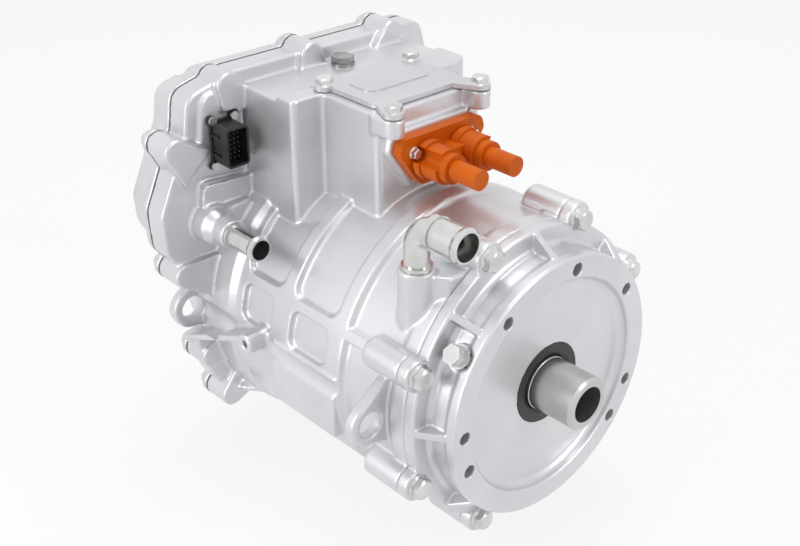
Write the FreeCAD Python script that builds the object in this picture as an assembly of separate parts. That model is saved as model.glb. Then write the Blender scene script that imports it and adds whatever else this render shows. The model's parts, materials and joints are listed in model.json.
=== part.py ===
import FreeCAD, Part
import math
import os

# Electric drive unit: a liquid-cooled motor with its power electronics in one casting.
# Millimetres. +X runs along the shaft, out of the output flange. +Z is up.
# The origin is the centre of the output flange's face. Every x below is a station on the shaft axis.

V = FreeCAD.Vector
DIR_X = V(1, 0, 0)
DIR_Y = V(0, 1, 0)
DIR_Z = V(0, 0, 1)

# Clearances, all radial or face to face
FIT_GAP = 0.05
RUN_GAP = 0.06
THREAD_GAP = 0.1
SEAT_GAP = 0.2
SCREW_GAP = 0.5
PAST = 1.0

# Motor drum: ribs, pockets between them, bore and cooling sleeve, from outside to inside
RIB_R = 128.0
POCKET_DEPTH = 4.5
DRUM_R = RIB_R - POCKET_DEPTH
DRUM_WALL = 11.5
BORE_R = DRUM_R - DRUM_WALL
SLEEVE_T = 13.0
STATOR_R = BORE_R - SLEEVE_T
RIB_FRONT_X = -110.0
SPLIT_BAND_R = RIB_R - 2.5
SPLIT_BAND_T = 14.0

# Output flange and front shield
FLANGE_R = 110.0
FLANGE_T = 9.0
FLANGE_HOLE_R = 5.25
FLANGE_SIDE_HOLE_R = 5.0
FLANGE_HOLE_CIRCLE_R = 98.75
FLANGE_HOLE_DEPTH = 20.0
FLANGE_HOLE_AXIS_DEG = 80.0
FLANGE_HOLE_MAIN_DEG = (0.0, 120.0, 240.0)
FLANGE_HOLE_SIDE_DEG = (45.5, 100.4)
DISH_R = 92.0
DISH_DEPTH = 8.0
DISH_FILLET_R = 7.0
DISH_DRAFT = 1.5
NECK_R = 108.0
NECK_WALL = 18.0
SHIELD_RIM_R = RIB_R - 2.5
SHIELD_RIM_T = 10.0
SHIELD_RIM_FRONT_X = -28.0
SHIELD_WALL = 8.0
SPIGOT_L = 9.0
SPLIT_X = SHIELD_RIM_FRONT_X - SHIELD_RIM_T
WEB_T = 6.0
WEB_COUNT = 8
HUB_WALL = 9.0

# Shield bolts, one in each of the long bosses of the housing
SHIELD_BOLT_COUNT = 8
SHIELD_BOLT_CIRCLE_R = RIB_R + 1.0
SHIELD_BOLT_R = 5.0
SHIELD_BOLT_AF = 16.0
SHIELD_BOLT_HEAD_H = 8.0
SHIELD_BOLT_L = 42.0
SHIELD_EAR_R = 13.0
SHIELD_BOSS_L = 44.0
SHIELD_BOLT_START_DEG = 180.0 / SHIELD_BOLT_COUNT

# Stator and rotor: core, winding heads and the rear wall that follows them
CORE_FRONT_X = -85.0
CORE_L = 150.0
WINDING_OVERHANG = 22.0
BULKHEAD_X = CORE_FRONT_X - CORE_L - WINDING_OVERHANG - 5.0
BULKHEAD_T = 16.0
REAR_SPLIT_X = BULKHEAD_X - 38.0

# Rear bulge of the drum
DRUM_REAR_R = RIB_R + 3.0
DRUM_REAR_X = BULKHEAD_X + 12.0
DRUM_REAR_SLOPE = 7.0
DRUM_REAR_WALL = 13.0

# Pockets of the drum: stations between the ribs, and heights of the two rows
POCKET_TOP_Z = 142.0
POCKET_LOW_Z = 52.0
POCKET_CORNER_R = 10.0
POCKET_SPANS = ((-236.0, -190.0), (-176.0, -124.0))
SIDE_POCKET_TOP_Z = 43.0
SIDE_POCKET_LOW_Z = 11.0
SIDE_POCKET_SPANS = ((-234.0, -196.0), (-172.0, -128.0))
SIDE_POCKET_CORNER_R = 8.0
RIDGE_FRONT_X = -78.0
RAIL_SPAN = (-190.0, -112.0)
RAIL_Y = RIB_R + 3.0
RAIL_TOP_Z = 9.0
RAIL_LOW_Z = -46.0
RAIL_CORNER_R = 3.0

# Electronics box on top of the drum
BOX_FLOOR_Z = RIB_R + 6.0
DECK_Z = BOX_FLOOR_Z + 59.0
FRONT_DECK_Z = DECK_Z + 3.5
FRONT_DECK_X = REAR_SPLIT_X + 69.0
BOX_FRONT_X = -144.0
BOX_FRONT_HALF_Y = 53.5
BOX_REAR_NEAR_X = REAR_SPLIT_X + 90.0
BOX_REAR_FAR_X = REAR_SPLIT_X + 108.0
BOX_REAR_NEAR_Y = -83.0
BOX_REAR_FAR_Y = 95.0
BOX_WALL = 7.0
BOX_CORNER_R = 4.0
BOX_FAR_CORNER_R = 16.0
BOX_DIVIDER_X = REAR_SPLIT_X + 78.0
BOX_DIVIDER_T = 6.0
ROOM_CORNER_R = 8.0
LID_OPENING_HALF_Y = 36.0
LID_OPENING_FRONT_X = BOX_FRONT_X - 16.0
LID_OPENING_REAR_X = BOX_DIVIDER_X + 16.0
LID_OPENING_CORNER_R = 8.0
FRONT_RIB_T = 3.0
FRONT_RIB_Y = -35.0
FRONT_RIB_DROP = 22.0
DECK_GROOVE_W = 3.0
DECK_GROOVE_DEPTH = 1.2

# Terminal cover, its bolts and corner bosses
COVER_T = 3.6
COVER_GASKET_T = 0.8
COVER_FRONT_X = BOX_FRONT_X - 5.0
COVER_HALF_Y = 47.0
COVER_CORNER_R = 12.0
COVER_PANEL_H = 0.8
COVER_PANEL_FRONT_X = BOX_FRONT_X - 31.0
COVER_PANEL_HALF_Y = 33.0
COVER_BOLT_FRONT_X = BOX_FRONT_X + 9.5
COVER_BOLT_REAR_X = BOX_DIVIDER_X + 6.5
COVER_BOLT_HALF_Y = 46.5
COVER_BOLT_R = 4.0
COVER_BOLT_AF = 13.0
COVER_BOLT_HEAD_H = 6.0
COVER_BOLT_L = 20.0
COVER_EAR_R = 8.5
COVER_EAR_INWARD = 0.72
COVER_BOSS_L = 16.0

# Rear flange, its tabs and the rear cover
REAR_FLANGE_T = 22.0
REAR_FLANGE_R = RIB_R + 19.0
REAR_CROWN_R = RIB_R - 2.0
REAR_TOP_Z = DECK_Z + 13.0
REAR_COVER_DEPTH = 44.0
REAR_COVER_WALL = 5.0
REAR_LIP_T = 8.0
REAR_LIP_INSET = 4.0
REAR_COVER_DRAFT = 9.0
REAR_GASKET_T = 0.8
REAR_TAB_R = 11.0
REAR_TAB_L = 28.0
REAR_TAB_ROOT = 1.7
REAR_TAB_REACH = 2.4
FOOT_PLATE_DEG = (190.0, 212.0)
REAR_BOLT_R = 4.0
REAR_BOLT_AF = 13.0
REAR_BOLT_HEAD_H = 6.5
REAR_BOLT_L = 22.0
REAR_BOLT_PLACES = (
    (-98.0, 197.0), (-12.0, 203.0), (78.0, 203.0), (-151.0, 154.0), (-152.0, 43.0), (-133.0, -43.0),
    (-116.0, -91.0), (-30.0, -146.0), (84.0, -122.0), (146.0, -36.0), (136.0, 92.0),
)

# Control connector pad and the ledge below it, on the rear flange
PAD_X = REAR_SPLIT_X + 23.5
PAD_CENTRE_Y = -105.5
PAD_CENTRE_Z = DECK_Z - 41.0
LEDGE_X = REAR_SPLIT_X + 30.0

# Mounting lugs, on one axis along X
LUG_HOLE_R = 10.5
LUG_Y = -(RIB_R + LUG_HOLE_R + 0.5)
LUG_Z = 0.5
LUG_R = 18.5
LUG_T = 10.0
LUG_WAY_R = LUG_HOLE_R + 1.5
FRONT_LUG_X = -58.0
REAR_LUG_X = REAR_SPLIT_X

# Threaded boss that stands out of the drum's left side, and the gusset from the rear lug to it
SIDE_BOSS_X = REAR_SPLIT_X + 93.0
SIDE_BOSS_Z = LUG_Z + 4.0
SIDE_BOSS_FACE_Y = -(RIB_R + 18.0)
SIDE_BOSS_R = 9.0
SIDE_BOSS_ROOT_R = 12.0
SIDE_BOSS_HOLE_R = 3.4
SIDE_BOSS_HOLE_L = 16.0
GUSSET_T = 6.0
GUSSET_REAR_Z = LUG_Z - LUG_R - 5.5
GUSSET_FRONT_Z = SIDE_BOSS_Z + SIDE_BOSS_R - 1.0
FOOT_WEB_T = 7.0
FOOT_WEB_DEG = 218.0
FOOT_WEB_FRONT_X = DRUM_REAR_X + 12.0

# Rotor shaft: coupling end, bearing seats and the seat of the position sensor
SHAFT_R = 22.5
SHAFT_END_R = 22.0
SHAFT_BORE_R = 15.0
SHAFT_BORE_DEPTH = 78.0
SHAFT_FRONT_X = 33.0
SHAFT_SHOULDER_R = 27.0
SHAFT_NECK_R = 22.0
CORE_BORE_R = 30.0
REAR_JOURNAL_R = 17.5
RESOLVER_SEAT_R = 14.0
SHAFT_REAR_X = REAR_SPLIT_X - 18.0
SHAFT_CHAMFER = 2.0

# Shaft seal
SEAL_R = 34.0
SEAL_T = 8.0

# Deep-groove bearings: width, outer radius, ball radius, ball count
FRONT_BEARING_X = -17.0
FRONT_BEARING_B = 19.0
FRONT_BEARING_R = 42.5
FRONT_BALL_R = 6.0
REAR_BEARING_X = BULKHEAD_X - 6.0
REAR_BEARING_B = 17.0
REAR_BEARING_R = 36.0
REAR_BALL_R = 5.5
BALL_COUNT = 9
RACE_LAND = 7.0
CAGE_T = 3.2
CAGE_EDGE = 1.5
CIRCLIP_T = 2.0
CIRCLIP_GROOVE = 1.8
CIRCLIP_REACH = 3.5
CIRCLIP_OPENING = 16.0
SPRING_ROOM = 1.8
SPRING_INSET = 0.6
SPRING_WIDTH = 3.4
REAR_HUB_R = REAR_BEARING_R + 12.0

# Rotor position sensor on the shaft's rear end
RESOLVER_X = REAR_SPLIT_X - 3.0
RESOLVER_T = 9.0
RESOLVER_ROTOR_R = 22.0
RESOLVER_R = 38.0
RESOLVER_RING = 4.0
RESOLVER_TEETH = 10
RESOLVER_LOBES = 4
RESOLVER_SEAT_X = REAR_SPLIT_X + 6.0

# Dowel pins of the front joint
DOWEL_R = 3.0
DOWEL_CIRCLE_R = BORE_R + 6.0
DOWEL_DEPTH = 10.0
DOWEL_ANGLES = (0.0, 180.0)

# Electronics inside the box
MODULE_T = 17.0
MODULE_BASE_T = 4.0
MODULE_SPAN_Y = (-42.0, 62.0)
MODULE_PAD_H = 3.0
MODULE_PAD_W = 16.0
PHASE_Y = (-30.0, 2.0, 34.0)
PHASE_BAR_T = 2.5
PHASE_BAR_W = 14.0
PHASE_REACH = 12.0
PHASE_DROP = 36.0
BOARD_Z = BOX_FLOOR_Z + 38.0
BOARD_T = 1.6
BOARD_SPAN_Y = (-70.0, 80.0)
CAPACITOR_Y = -45.0
CAPACITOR_HEADROOM = 18.0

# Stator and rotor laminations, winding, magnets and cooling sleeve
STATOR_BACK = 31.0
STATOR_BORE_R = STATOR_R - STATOR_BACK
AIR_GAP = 0.7
ROTOR_R = STATOR_BORE_R - AIR_GAP
SLOT_COUNT = 24
SLOT_W = 7.0
SLOT_DEPTH = 18.0
POLE_COUNT = 8
MAGNET_W = 34.0
MAGNET_T = 6.0
MAGNET_R = ROTOR_R - 10.3
LIGHTENING_R = 5.0
LIGHTENING_CIRCLE_R = 42.0
END_PLATE_T = 5.0
SLEEVE_FRONT_X = CORE_FRONT_X + 29.0
SLEEVE_REAR_X = BULKHEAD_X + 4.0
SLEEVE_END_LAND = 16.0
SLEEVE_RING_INSET = 8.0
CHANNEL_COUNT = 7
CHANNEL_DEPTH = 5.0
CHANNEL_LAND = 7.0
RING_R = 1.6

# High-voltage connector on the front of the box
HV_Y = 2.0
HV_Z = BOX_FLOOR_Z + 23.0
HV_PLATE_T = 9.0
HV_PAD_T = 5.0
HV_POLE_HALF_Y = 19.0
HV_SOCKET_R = 14.5
HV_SOCKET_X = BOX_FRONT_X + 40.0
HV_COLLAR_R = 12.0
HV_COLLAR_X = BOX_FRONT_X + 47.0
HV_CABLE_R = 8.25
HV_CABLE_X = BOX_FRONT_X + 74.0
HV_CABLE_DEPTH = 24.0
HV_LIP_R = HV_SOCKET_R + 1.6
HV_BOLT_HALF_Y = 31.0
HV_BOLT_UP = 7.0
HV_BOLT_R = 3.0
HV_BOLT_AF = 8.0
HV_BOLT_HEAD_H = 5.0
HV_BOLT_L = 17.0
HV_BOLT_ROOM_R = 6.6
HV_PLUG_L = 14.0
HV_BUSBAR_W = 16.0
HV_BUSBAR_T = 3.0

# Low-voltage connector
LV_W = 22.0
LV_H = 34.0
LV_L = 22.0
LV_WALL = 2.0
LV_CORNER_R = 4.0
LV_SCREW_HALF_Y = 10.5
LV_SCREW_HALF_Z = 19.5
LV_WINDOW_HALF_Y = 8.0
LV_WINDOW_HALF_Z = 13.0
LV_FLOOR = 5.0
LV_PIN_ROWS = 3
LV_PIN_COLUMNS = 6
LV_PIN_PITCH = 4.0
LV_PIN_W = 0.9
LV_FLANGE_T = 3.0
LV_SCREW_R = 2.0
LV_RAIL_H = 1.4
LV_RAIL_PLACES = (-8.0, 8.0)

# Coolant ports
INLET_Y = -125.0
INLET_Z = 85.0
INLET_TUBE_R = 9.6
INLET_BORE_R = 8.4
INLET_BEAD_R = 11.2
INLET_BOSS_R = 17.0
INLET_BOSS_X = REAR_SPLIT_X + 38.0
INLET_COLLAR_R = 12.6
INLET_COLLAR_X = REAR_SPLIT_X + 60.0
INLET_END_X = INLET_COLLAR_X + 36.0
INLET_SEAT_L = 18.0
OUTLET_X = -62.0
OUTLET_Y = -90.0
OUTLET_BOSS_Z = 114.0
OUTLET_BOSS_R = 14.3
OUTLET_SEAT_L = 12.0
OUTLET_LEG_R = 9.8
OUTLET_WALL = 2.2
OUTLET_Z = OUTLET_BOSS_Z + 35.0
OUTLET_BEND_R = 17.0
OUTLET_TUBE_R = 12.2
OUTLET_BORE_R = 10.7
OUTLET_BEAD_R = 13.8
OUTLET_END_X = OUTLET_X + 50.4
PORT_DRILL_R = 6.0

# Breather plug on the shield and vent plug on the deck
BREATHER_DEG = 146.5
BREATHER_X = -14.5
BREATHER_AF = 14.0
BREATHER_R = 9.5
BREATHER_COLLAR_H = 5.0
BREATHER_HEAD_H = 9.0
BREATHER_SLOTS = 6
PLUG_SHANK_R = 5.0
VENT_X = REAR_SPLIT_X + 39.0
VENT_Y = 11.0
VENT_AF = 17.0
VENT_H = 7.0
VENT_COLLAR_H = 1.6


def cyl(radius, start, end, centre=(0.0, 0.0)):
    """Cylinder along X between two stations."""
    low = min(start, end)
    return Part.makeCylinder(radius, abs(end - start), V(low, centre[0], centre[1]), DIR_X)


def ring(outer, inner, start, end, centre=(0.0, 0.0)):
    return cyl(outer, start, end, centre).cut(cyl(inner, start, end, centre))


def rod(radius, base, direction, length):
    return Part.makeCylinder(radius, length, base, direction)


def block(x0, x1, y0, y1, z0, z1):
    return Part.makeBox(x1 - x0, y1 - y0, z1 - z0, V(x0, y0, z0))


def polar(radius, degrees):
    angle = math.radians(degrees)
    return radius * math.cos(angle), radius * math.sin(angle)


def fuse(*shapes):
    first = shapes[0]
    return first.multiFuse(list(shapes[1:])).removeSplitter()


def spin(profile):
    """Solid of revolution about X from (x, r) corners or a closed wire in the XY plane."""
    if isinstance(profile, Part.Wire):
        wire = profile
    else:
        points = [V(x, r, 0) for x, r in profile]
        wire = Part.makePolygon(points + points[:1])
    return Part.Face(wire).revolve(V(0, 0, 0), DIR_X, 360)


def rounded_wire(corners, place):
    """Closed wire through (a, b, radius) corners; place turns (a, b) into a point."""
    edges = []
    count = len(corners)
    starts, ends, middles = [], [], []
    for i in range(count):
        a, b, radius = corners[i]
        prev_a, prev_b = corners[i - 1][:2]
        next_a, next_b = corners[(i + 1) % count][:2]
        to_prev = FreeCAD.Vector(prev_a - a, prev_b - b, 0)
        to_next = FreeCAD.Vector(next_a - a, next_b - b, 0)
        to_prev.normalize()
        to_next.normalize()
        half = to_prev.getAngle(to_next) / 2.0
        reach = radius / math.tan(half)
        corner = V(a, b, 0)
        bisector = (to_prev + to_next).normalize()
        starts.append(corner + to_prev * reach)
        ends.append(corner + to_next * reach)
        middles.append(corner + bisector * (radius / math.sin(half) - radius))
    for i in range(count):
        start, end, middle = [place(p.x, p.y) for p in (starts[i], ends[i], middles[i])]
        if corners[i][2] > 0:
            edges.append(Part.Arc(start, middle, end).toShape())
        following = starts[(i + 1) % count]
        after = place(following.x, following.y)
        if end.distanceToPoint(after) > 1e-6:
            edges.append(Part.LineSegment(end, after).toShape())
    return Part.Wire(edges)


def prism_x(corners, x0, x1):
    """Rounded outline in (y, z), extruded along X."""
    wire = rounded_wire(corners, lambda a, b: V(x0, a, b))
    return Part.Face(wire).extrude(V(x1 - x0, 0, 0))


def prism_y(corners, y0, y1):
    """Rounded outline in (x, z), extruded along Y."""
    wire = rounded_wire(corners, lambda a, b: V(a, y0, b))
    return Part.Face(wire).extrude(V(0, y1 - y0, 0))


def prism_z(corners, z0, z1):
    """Rounded outline in (x, y), extruded along Z."""
    wire = rounded_wire(corners, lambda a, b: V(a, b, z0))
    return Part.Face(wire).extrude(V(0, 0, z1 - z0))


def rectangle(a0, a1, b0, b1, radius):
    return [(a0, b0, radius), (a1, b0, radius), (a1, b1, radius), (a0, b1, radius)]


def hexagon(across_flats, base, direction, height):
    """Hexagonal prism standing on base along direction."""
    corner_r = across_flats / math.sqrt(3)
    points = [V(*polar(corner_r, 60 * i), 0) for i in range(6)]
    solid = Part.Face(Part.makePolygon(points + points[:1])).extrude(V(0, 0, height))
    turn = FreeCAD.Rotation(DIR_Z, direction)
    solid.Placement = FreeCAD.Placement(base, turn)
    return solid


def flange_bolt(base, direction, shank_r, across_flats, head_h, shank_l):
    """Flange bolt whose head stands on base along direction; the shank runs the other way."""
    washer_r = across_flats * 0.62
    washer_h = head_h * 0.25
    washer = Part.makeCone(washer_r, across_flats * 0.5, washer_h, base, direction)
    head = hexagon(across_flats, base + direction * (washer_h * 0.5), direction, head_h - washer_h * 0.5)
    crown_r = across_flats * 0.64
    crown_base = head_h * 0.64
    crown = Part.makeCone(
        crown_r, across_flats * 0.44, head_h - crown_base, base + direction * crown_base, direction)
    body = rod(crown_r, base, direction, crown_base)
    head = head.common(body.fuse(crown))
    shank = rod(shank_r, base - direction * shank_l, direction, shank_l)
    return fuse(head, washer, shank)


def shield_bolt_spots():
    step = 360.0 / SHIELD_BOLT_COUNT
    return [polar(SHIELD_BOLT_CIRCLE_R, SHIELD_BOLT_START_DEG + step * i) for i in range(SHIELD_BOLT_COUNT)]


def cover_bolt_spots():
    stations = (COVER_BOLT_FRONT_X, COVER_BOLT_REAR_X)
    return [(x, side * COVER_BOLT_HALF_Y) for x in stations for side in (-1, 1)]


def box_plan(inset):
    """Outline of the electronics box seen from above, drawn in by inset."""
    rear_x = REAR_SPLIT_X
    return [
        (rear_x, BOX_REAR_NEAR_Y + inset, 0),
        (BOX_REAR_NEAR_X - inset, BOX_REAR_NEAR_Y + inset, BOX_CORNER_R),
        (BOX_REAR_NEAR_X - inset, -BOX_FRONT_HALF_Y + inset, BOX_CORNER_R),
        (BOX_FRONT_X - inset, -BOX_FRONT_HALF_Y + inset, BOX_CORNER_R),
        (BOX_FRONT_X - inset, BOX_FRONT_HALF_Y - inset, BOX_CORNER_R),
        (BOX_REAR_FAR_X - inset, BOX_FRONT_HALF_Y - inset, BOX_CORNER_R),
        (BOX_REAR_FAR_X - inset, BOX_REAR_FAR_Y - inset, BOX_FAR_CORNER_R),
        (rear_x, BOX_REAR_FAR_Y - inset, 0),
    ]


def rear_outline():
    """Outline of the rear joint above the drum, in (y, z), from the far side round to the near side."""
    return [
        (116.0, REAR_TOP_Z, 14.0), (-88.0, REAR_TOP_Z, 10.0), (-135.0, DECK_Z + 1.0, 14.0),
        (-140.0, DECK_Z - 33.0, 14.0), (-168.0, DECK_Z - 94.0, 18.0), (-166.0, DECK_Z - 128.0, 16.0),
        (-122.0, LUG_Z + 10.0, 8.0), (-100.0, -60.0, 10.0), (100.0, -60.0, 10.0), (138.0, 30.0, 20.0),
        (140.0, 120.0, 24.0),
    ]


def rear_tab(spot, x0, x1):
    """Round bolt tab with a root that widens into the flange toward the shaft axis."""
    tab = cyl(REAR_TAB_R, x0, x1, spot)
    inward = V(0, -spot[0], -spot[1]).normalize()
    side = DIR_X.cross(inward) * REAR_TAB_R
    centre = V(x0, *spot)
    root = centre + inward * REAR_TAB_R * REAR_TAB_REACH
    wide = side * REAR_TAB_ROOT
    corners = [centre + side, root + wide, root - wide, centre - side, centre + side]
    return tab.fuse(Part.Face(Part.makePolygon(corners)).extrude(V(x1 - x0, 0, 0)))


def rear_plate(x0, x1):
    """Plate with the outline of the rear joint: drum circle, electronics outline and bolt tabs."""
    plate = fuse(cyl(REAR_CROWN_R, x0, x1), prism_x(rear_outline(), x0, x1))
    return fuse(plate, *[rear_tab(spot, x0, x1) for spot in REAR_BOLT_PLACES])


def housing_drum():
    """Drum with its ribs: a turned barrel from which the pockets are sunk between the ribs."""
    band_back = SPLIT_X - SPLIT_BAND_T
    barrel = spin([
        (SPLIT_X, 0), (SPLIT_X, SPLIT_BAND_R), (band_back, SPLIT_BAND_R), (band_back - 3.0, DRUM_R),
        (RIB_FRONT_X + 3.0, DRUM_R), (RIB_FRONT_X, RIB_R), (DRUM_REAR_X + DRUM_REAR_SLOPE, RIB_R),
        (DRUM_REAR_X, DRUM_REAR_R), (REAR_SPLIT_X, DRUM_REAR_R), (REAR_SPLIT_X, 0),
    ])
    shells = []
    for x0, x1 in POCKET_SPANS:
        outline = rectangle(x0, x1, POCKET_LOW_Z, POCKET_TOP_Z, POCKET_CORNER_R)
        shells.append(prism_y(outline, -RIB_R - PAST, 0))
        if x1 < BOX_REAR_FAR_X or x0 > BOX_FRONT_X - 40.0:
            shells.append(prism_y(outline, 0, RIB_R + PAST))
    for x0, x1 in SIDE_POCKET_SPANS:
        outline = rectangle(x0, x1, SIDE_POCKET_LOW_Z, SIDE_POCKET_TOP_Z, SIDE_POCKET_CORNER_R)
        shells.append(prism_y(outline, -RIB_R - PAST, 0))
        shells.append(prism_y(outline, 0, RIB_R + PAST))
    depth = ring(RIB_R + PAST, DRUM_R, REAR_SPLIT_X, SPLIT_X)
    pockets = [shell.common(depth) for shell in shells]
    return barrel.cut(pockets[0].multiFuse(pockets[1:]))


def drum_ridges():
    """The rib between the two rows of pockets runs on forward past the last cross rib, on both sides."""
    strip = block(RIB_FRONT_X - 5.0, RIDGE_FRONT_X, -RIB_R, RIB_R, SIDE_POCKET_TOP_Z, POCKET_LOW_Z)
    return strip.common(ring(RIB_R, BORE_R + 1.0, RIB_FRONT_X - 5.0, RIDGE_FRONT_X))


def foot_plate():
    """Local widening of the rear flange below the rear lug, with a web on its lower bolt tab."""
    reach = REAR_FLANGE_R * 1.2
    low, high = FOOT_PLATE_DEG
    corners = [(0, 0, 0), (*polar(reach, low), 0), (*polar(reach, high), 0)]
    front = REAR_SPLIT_X + REAR_FLANGE_T
    plate = prism_x(corners, REAR_SPLIT_X, front).common(cyl(REAR_FLANGE_R, REAR_SPLIT_X, front))
    points = [V(front - 1.0, BORE_R + 4.0, 0), V(front - 1.0, REAR_FLANGE_R - 2.0, 0),
              V(FOOT_WEB_FRONT_X, RIB_R - 1.0, 0), V(FOOT_WEB_FRONT_X, BORE_R + 4.0, 0)]
    web = Part.Face(Part.makePolygon(points + points[:1])).extrude(V(0, 0, FOOT_WEB_T))
    web.translate(V(0, 0, -FOOT_WEB_T / 2))
    web.rotate(V(0, 0, 0), DIR_X, FOOT_WEB_DEG)
    return fuse(plate, web)


def side_boss():
    """Boss for a bracket bolt, standing out of the drum to the left, with the gusset from the rear lug."""
    root_y = -(DRUM_R - 6.0)
    height = abs(SIDE_BOSS_FACE_Y - root_y)
    base = V(SIDE_BOSS_X, root_y, SIDE_BOSS_Z)
    boss = rod(SIDE_BOSS_R, base, DIR_Y * -1, height)
    flare = Part.makeCone(SIDE_BOSS_ROOT_R, SIDE_BOSS_R, height * 0.5, base, DIR_Y * -1)
    back = REAR_LUG_X + LUG_T * 0.5
    sheet = prism_y([
        (back, GUSSET_REAR_Z - GUSSET_T, 0), (SIDE_BOSS_X, GUSSET_FRONT_Z - GUSSET_T, 0),
        (SIDE_BOSS_X, GUSSET_FRONT_Z, 0), (back, GUSSET_REAR_Z, 0),
    ], LUG_Y - LUG_R, root_y)
    plan = prism_z([
        (back, LUG_Y - LUG_R * 0.62, 0), (SIDE_BOSS_X, SIDE_BOSS_FACE_Y + 1.0, 0),
        (SIDE_BOSS_X, root_y, 0), (back, root_y, 0),
    ], GUSSET_REAR_Z - GUSSET_T - PAST, GUSSET_FRONT_Z + PAST)
    return fuse(boss, flare, sheet.common(plan))


def shield_boss(spot):
    """Long round-ended boss behind the split line, which takes one shield bolt."""
    body = cyl(SHIELD_EAR_R, SPLIT_X - SHIELD_BOSS_L + SHIELD_EAR_R * 0.5, SPLIT_X, spot)
    nose = Part.makeCone(
        SHIELD_EAR_R * 0.45, SHIELD_EAR_R, SHIELD_EAR_R * 0.5, V(SPLIT_X - SHIELD_BOSS_L, *spot), DIR_X)
    return body.fuse(nose)


def lug(x, thickness):
    """Mounting lug: an eye on the left side with a tapered root into the drum."""
    eye = cyl(LUG_R, x - thickness, x, (LUG_Y, LUG_Z))
    root = prism_x([
        (LUG_Y - LUG_R * 0.5, LUG_Z + LUG_R * 0.85, 4.0), (-110.0, LUG_Z + 42.0, 4.0),
        (-100.0, LUG_Z - 30.0, 4.0), (LUG_Y + 2.0, LUG_Z - LUG_R * 0.98, 4.0),
    ], x - thickness, x)
    return eye.fuse(root)


def make_housing():
    drum = housing_drum()
    box = prism_z(box_plan(0), 0.0, FRONT_DECK_Z)
    box = box.cut(block(REAR_SPLIT_X - 1, FRONT_DECK_X, -200.0, 200.0, DECK_Z, FRONT_DECK_Z + 1))
    flange = rear_plate(REAR_SPLIT_X, REAR_SPLIT_X + REAR_FLANGE_T)
    tabs = []
    for spot in REAR_BOLT_PLACES:
        tabs.append(rear_tab(spot, REAR_SPLIT_X, REAR_SPLIT_X + REAR_TAB_L))
    bosses = [shield_boss(spot) for spot in shield_bolt_spots()]
    corner_bosses = []
    for x, y in cover_bolt_spots():
        low, top = FRONT_DECK_Z - COVER_BOSS_L, FRONT_DECK_Z
        corner_bosses.append(rod(COVER_EAR_R, V(x, y, low), DIR_Z, COVER_BOSS_L))
        if x == COVER_BOLT_FRONT_X:
            toward = BOX_FRONT_X - 8.0
            corner_bosses.append(block(toward, x, y - COVER_EAR_R, y + COVER_EAR_R, low, top))
    pad = prism_x([
        (-70.0, DECK_Z, 0), (-122.0, DECK_Z, 12.0), (-126.0, DECK_Z - 33.0, 12.0),
        (-137.0, DECK_Z - 68.0, 4.0), (-70.0, DECK_Z - 75.0, 0),
    ], REAR_SPLIT_X, PAD_X)
    ledge = prism_x([
        (-70.0, DECK_Z - 77.0, 0), (-130.0, DECK_Z - 73.0, 6.0),
        (-134.0, DECK_Z - 95.0, 6.0), (-70.0, DECK_Z - 101.0, 0),
    ], REAR_SPLIT_X, LEDGE_X)
    rail_left = prism_x(rectangle(-RAIL_Y, -90.0, RAIL_LOW_Z, RAIL_TOP_Z, RAIL_CORNER_R), *RAIL_SPAN)
    rail_right = prism_x(rectangle(90.0, RAIL_Y, RAIL_LOW_Z, RAIL_TOP_Z, RAIL_CORNER_R), *RAIL_SPAN)
    inlet_boss = cyl(INLET_BOSS_R, REAR_SPLIT_X, INLET_BOSS_X, (INLET_Y, INLET_Z))
    inlet_step = Part.makeCone(INLET_BOSS_R, INLET_COLLAR_R, 8.0, V(INLET_BOSS_X, INLET_Y, INLET_Z), DIR_X)
    inlet_collar = cyl(INLET_COLLAR_R, REAR_SPLIT_X, INLET_COLLAR_X, (INLET_Y, INLET_Z)).fuse(inlet_step)
    inlet_web = prism_x([
        (-90.0, 100.0, 0), (INLET_Y, INLET_Z + 13.0, 4.0),
        (INLET_Y, INLET_Z - 13.0, 4.0), (-100.0, 60.0, 0),
    ], REAR_SPLIT_X, INLET_BOSS_X)
    outlet_boss = rod(OUTLET_BOSS_R, V(OUTLET_X, OUTLET_Y, 60.0), DIR_Z, OUTLET_BOSS_Z - 60.0)
    outlet_web = prism_z([
        (OUTLET_X, OUTLET_Y - OUTLET_BOSS_R * 0.6, 0), (SPLIT_X, OUTLET_Y + 10.0, 0),
        (SPLIT_X, OUTLET_Y + 40.0, 0), (OUTLET_X - 8.0, OUTLET_Y + 20.0, 0),
    ], 70.0, OUTLET_BOSS_Z - 4.0)
    hv_pad = prism_x(hv_outline(4.0), BOX_FRONT_X - BOX_WALL, BOX_FRONT_X + HV_PAD_T)
    rib_low = HV_Z + FRONT_RIB_DROP - 4.0
    rib_side = FRONT_RIB_Y + FRONT_RIB_T / 2
    rib_front = BOX_FRONT_X + FRONT_RIB_T
    front_rib = block(BOX_FRONT_X - 1.0, rib_front, rib_side - FRONT_RIB_T, rib_side, rib_low, FRONT_DECK_Z)
    body = drum.multiFuse([
        box, flange, pad, ledge, rail_left, rail_right, inlet_boss, inlet_collar, inlet_web,
        outlet_boss, outlet_web, side_boss(), drum_ridges(), foot_plate(), hv_pad, front_rib,
        lug(FRONT_LUG_X, LUG_T), lug(REAR_LUG_X + LUG_T, LUG_T), *tabs, *bosses, *corner_bosses])
    for cavity in housing_cavities():
        body = body.cut(cavity)
    return body


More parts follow.
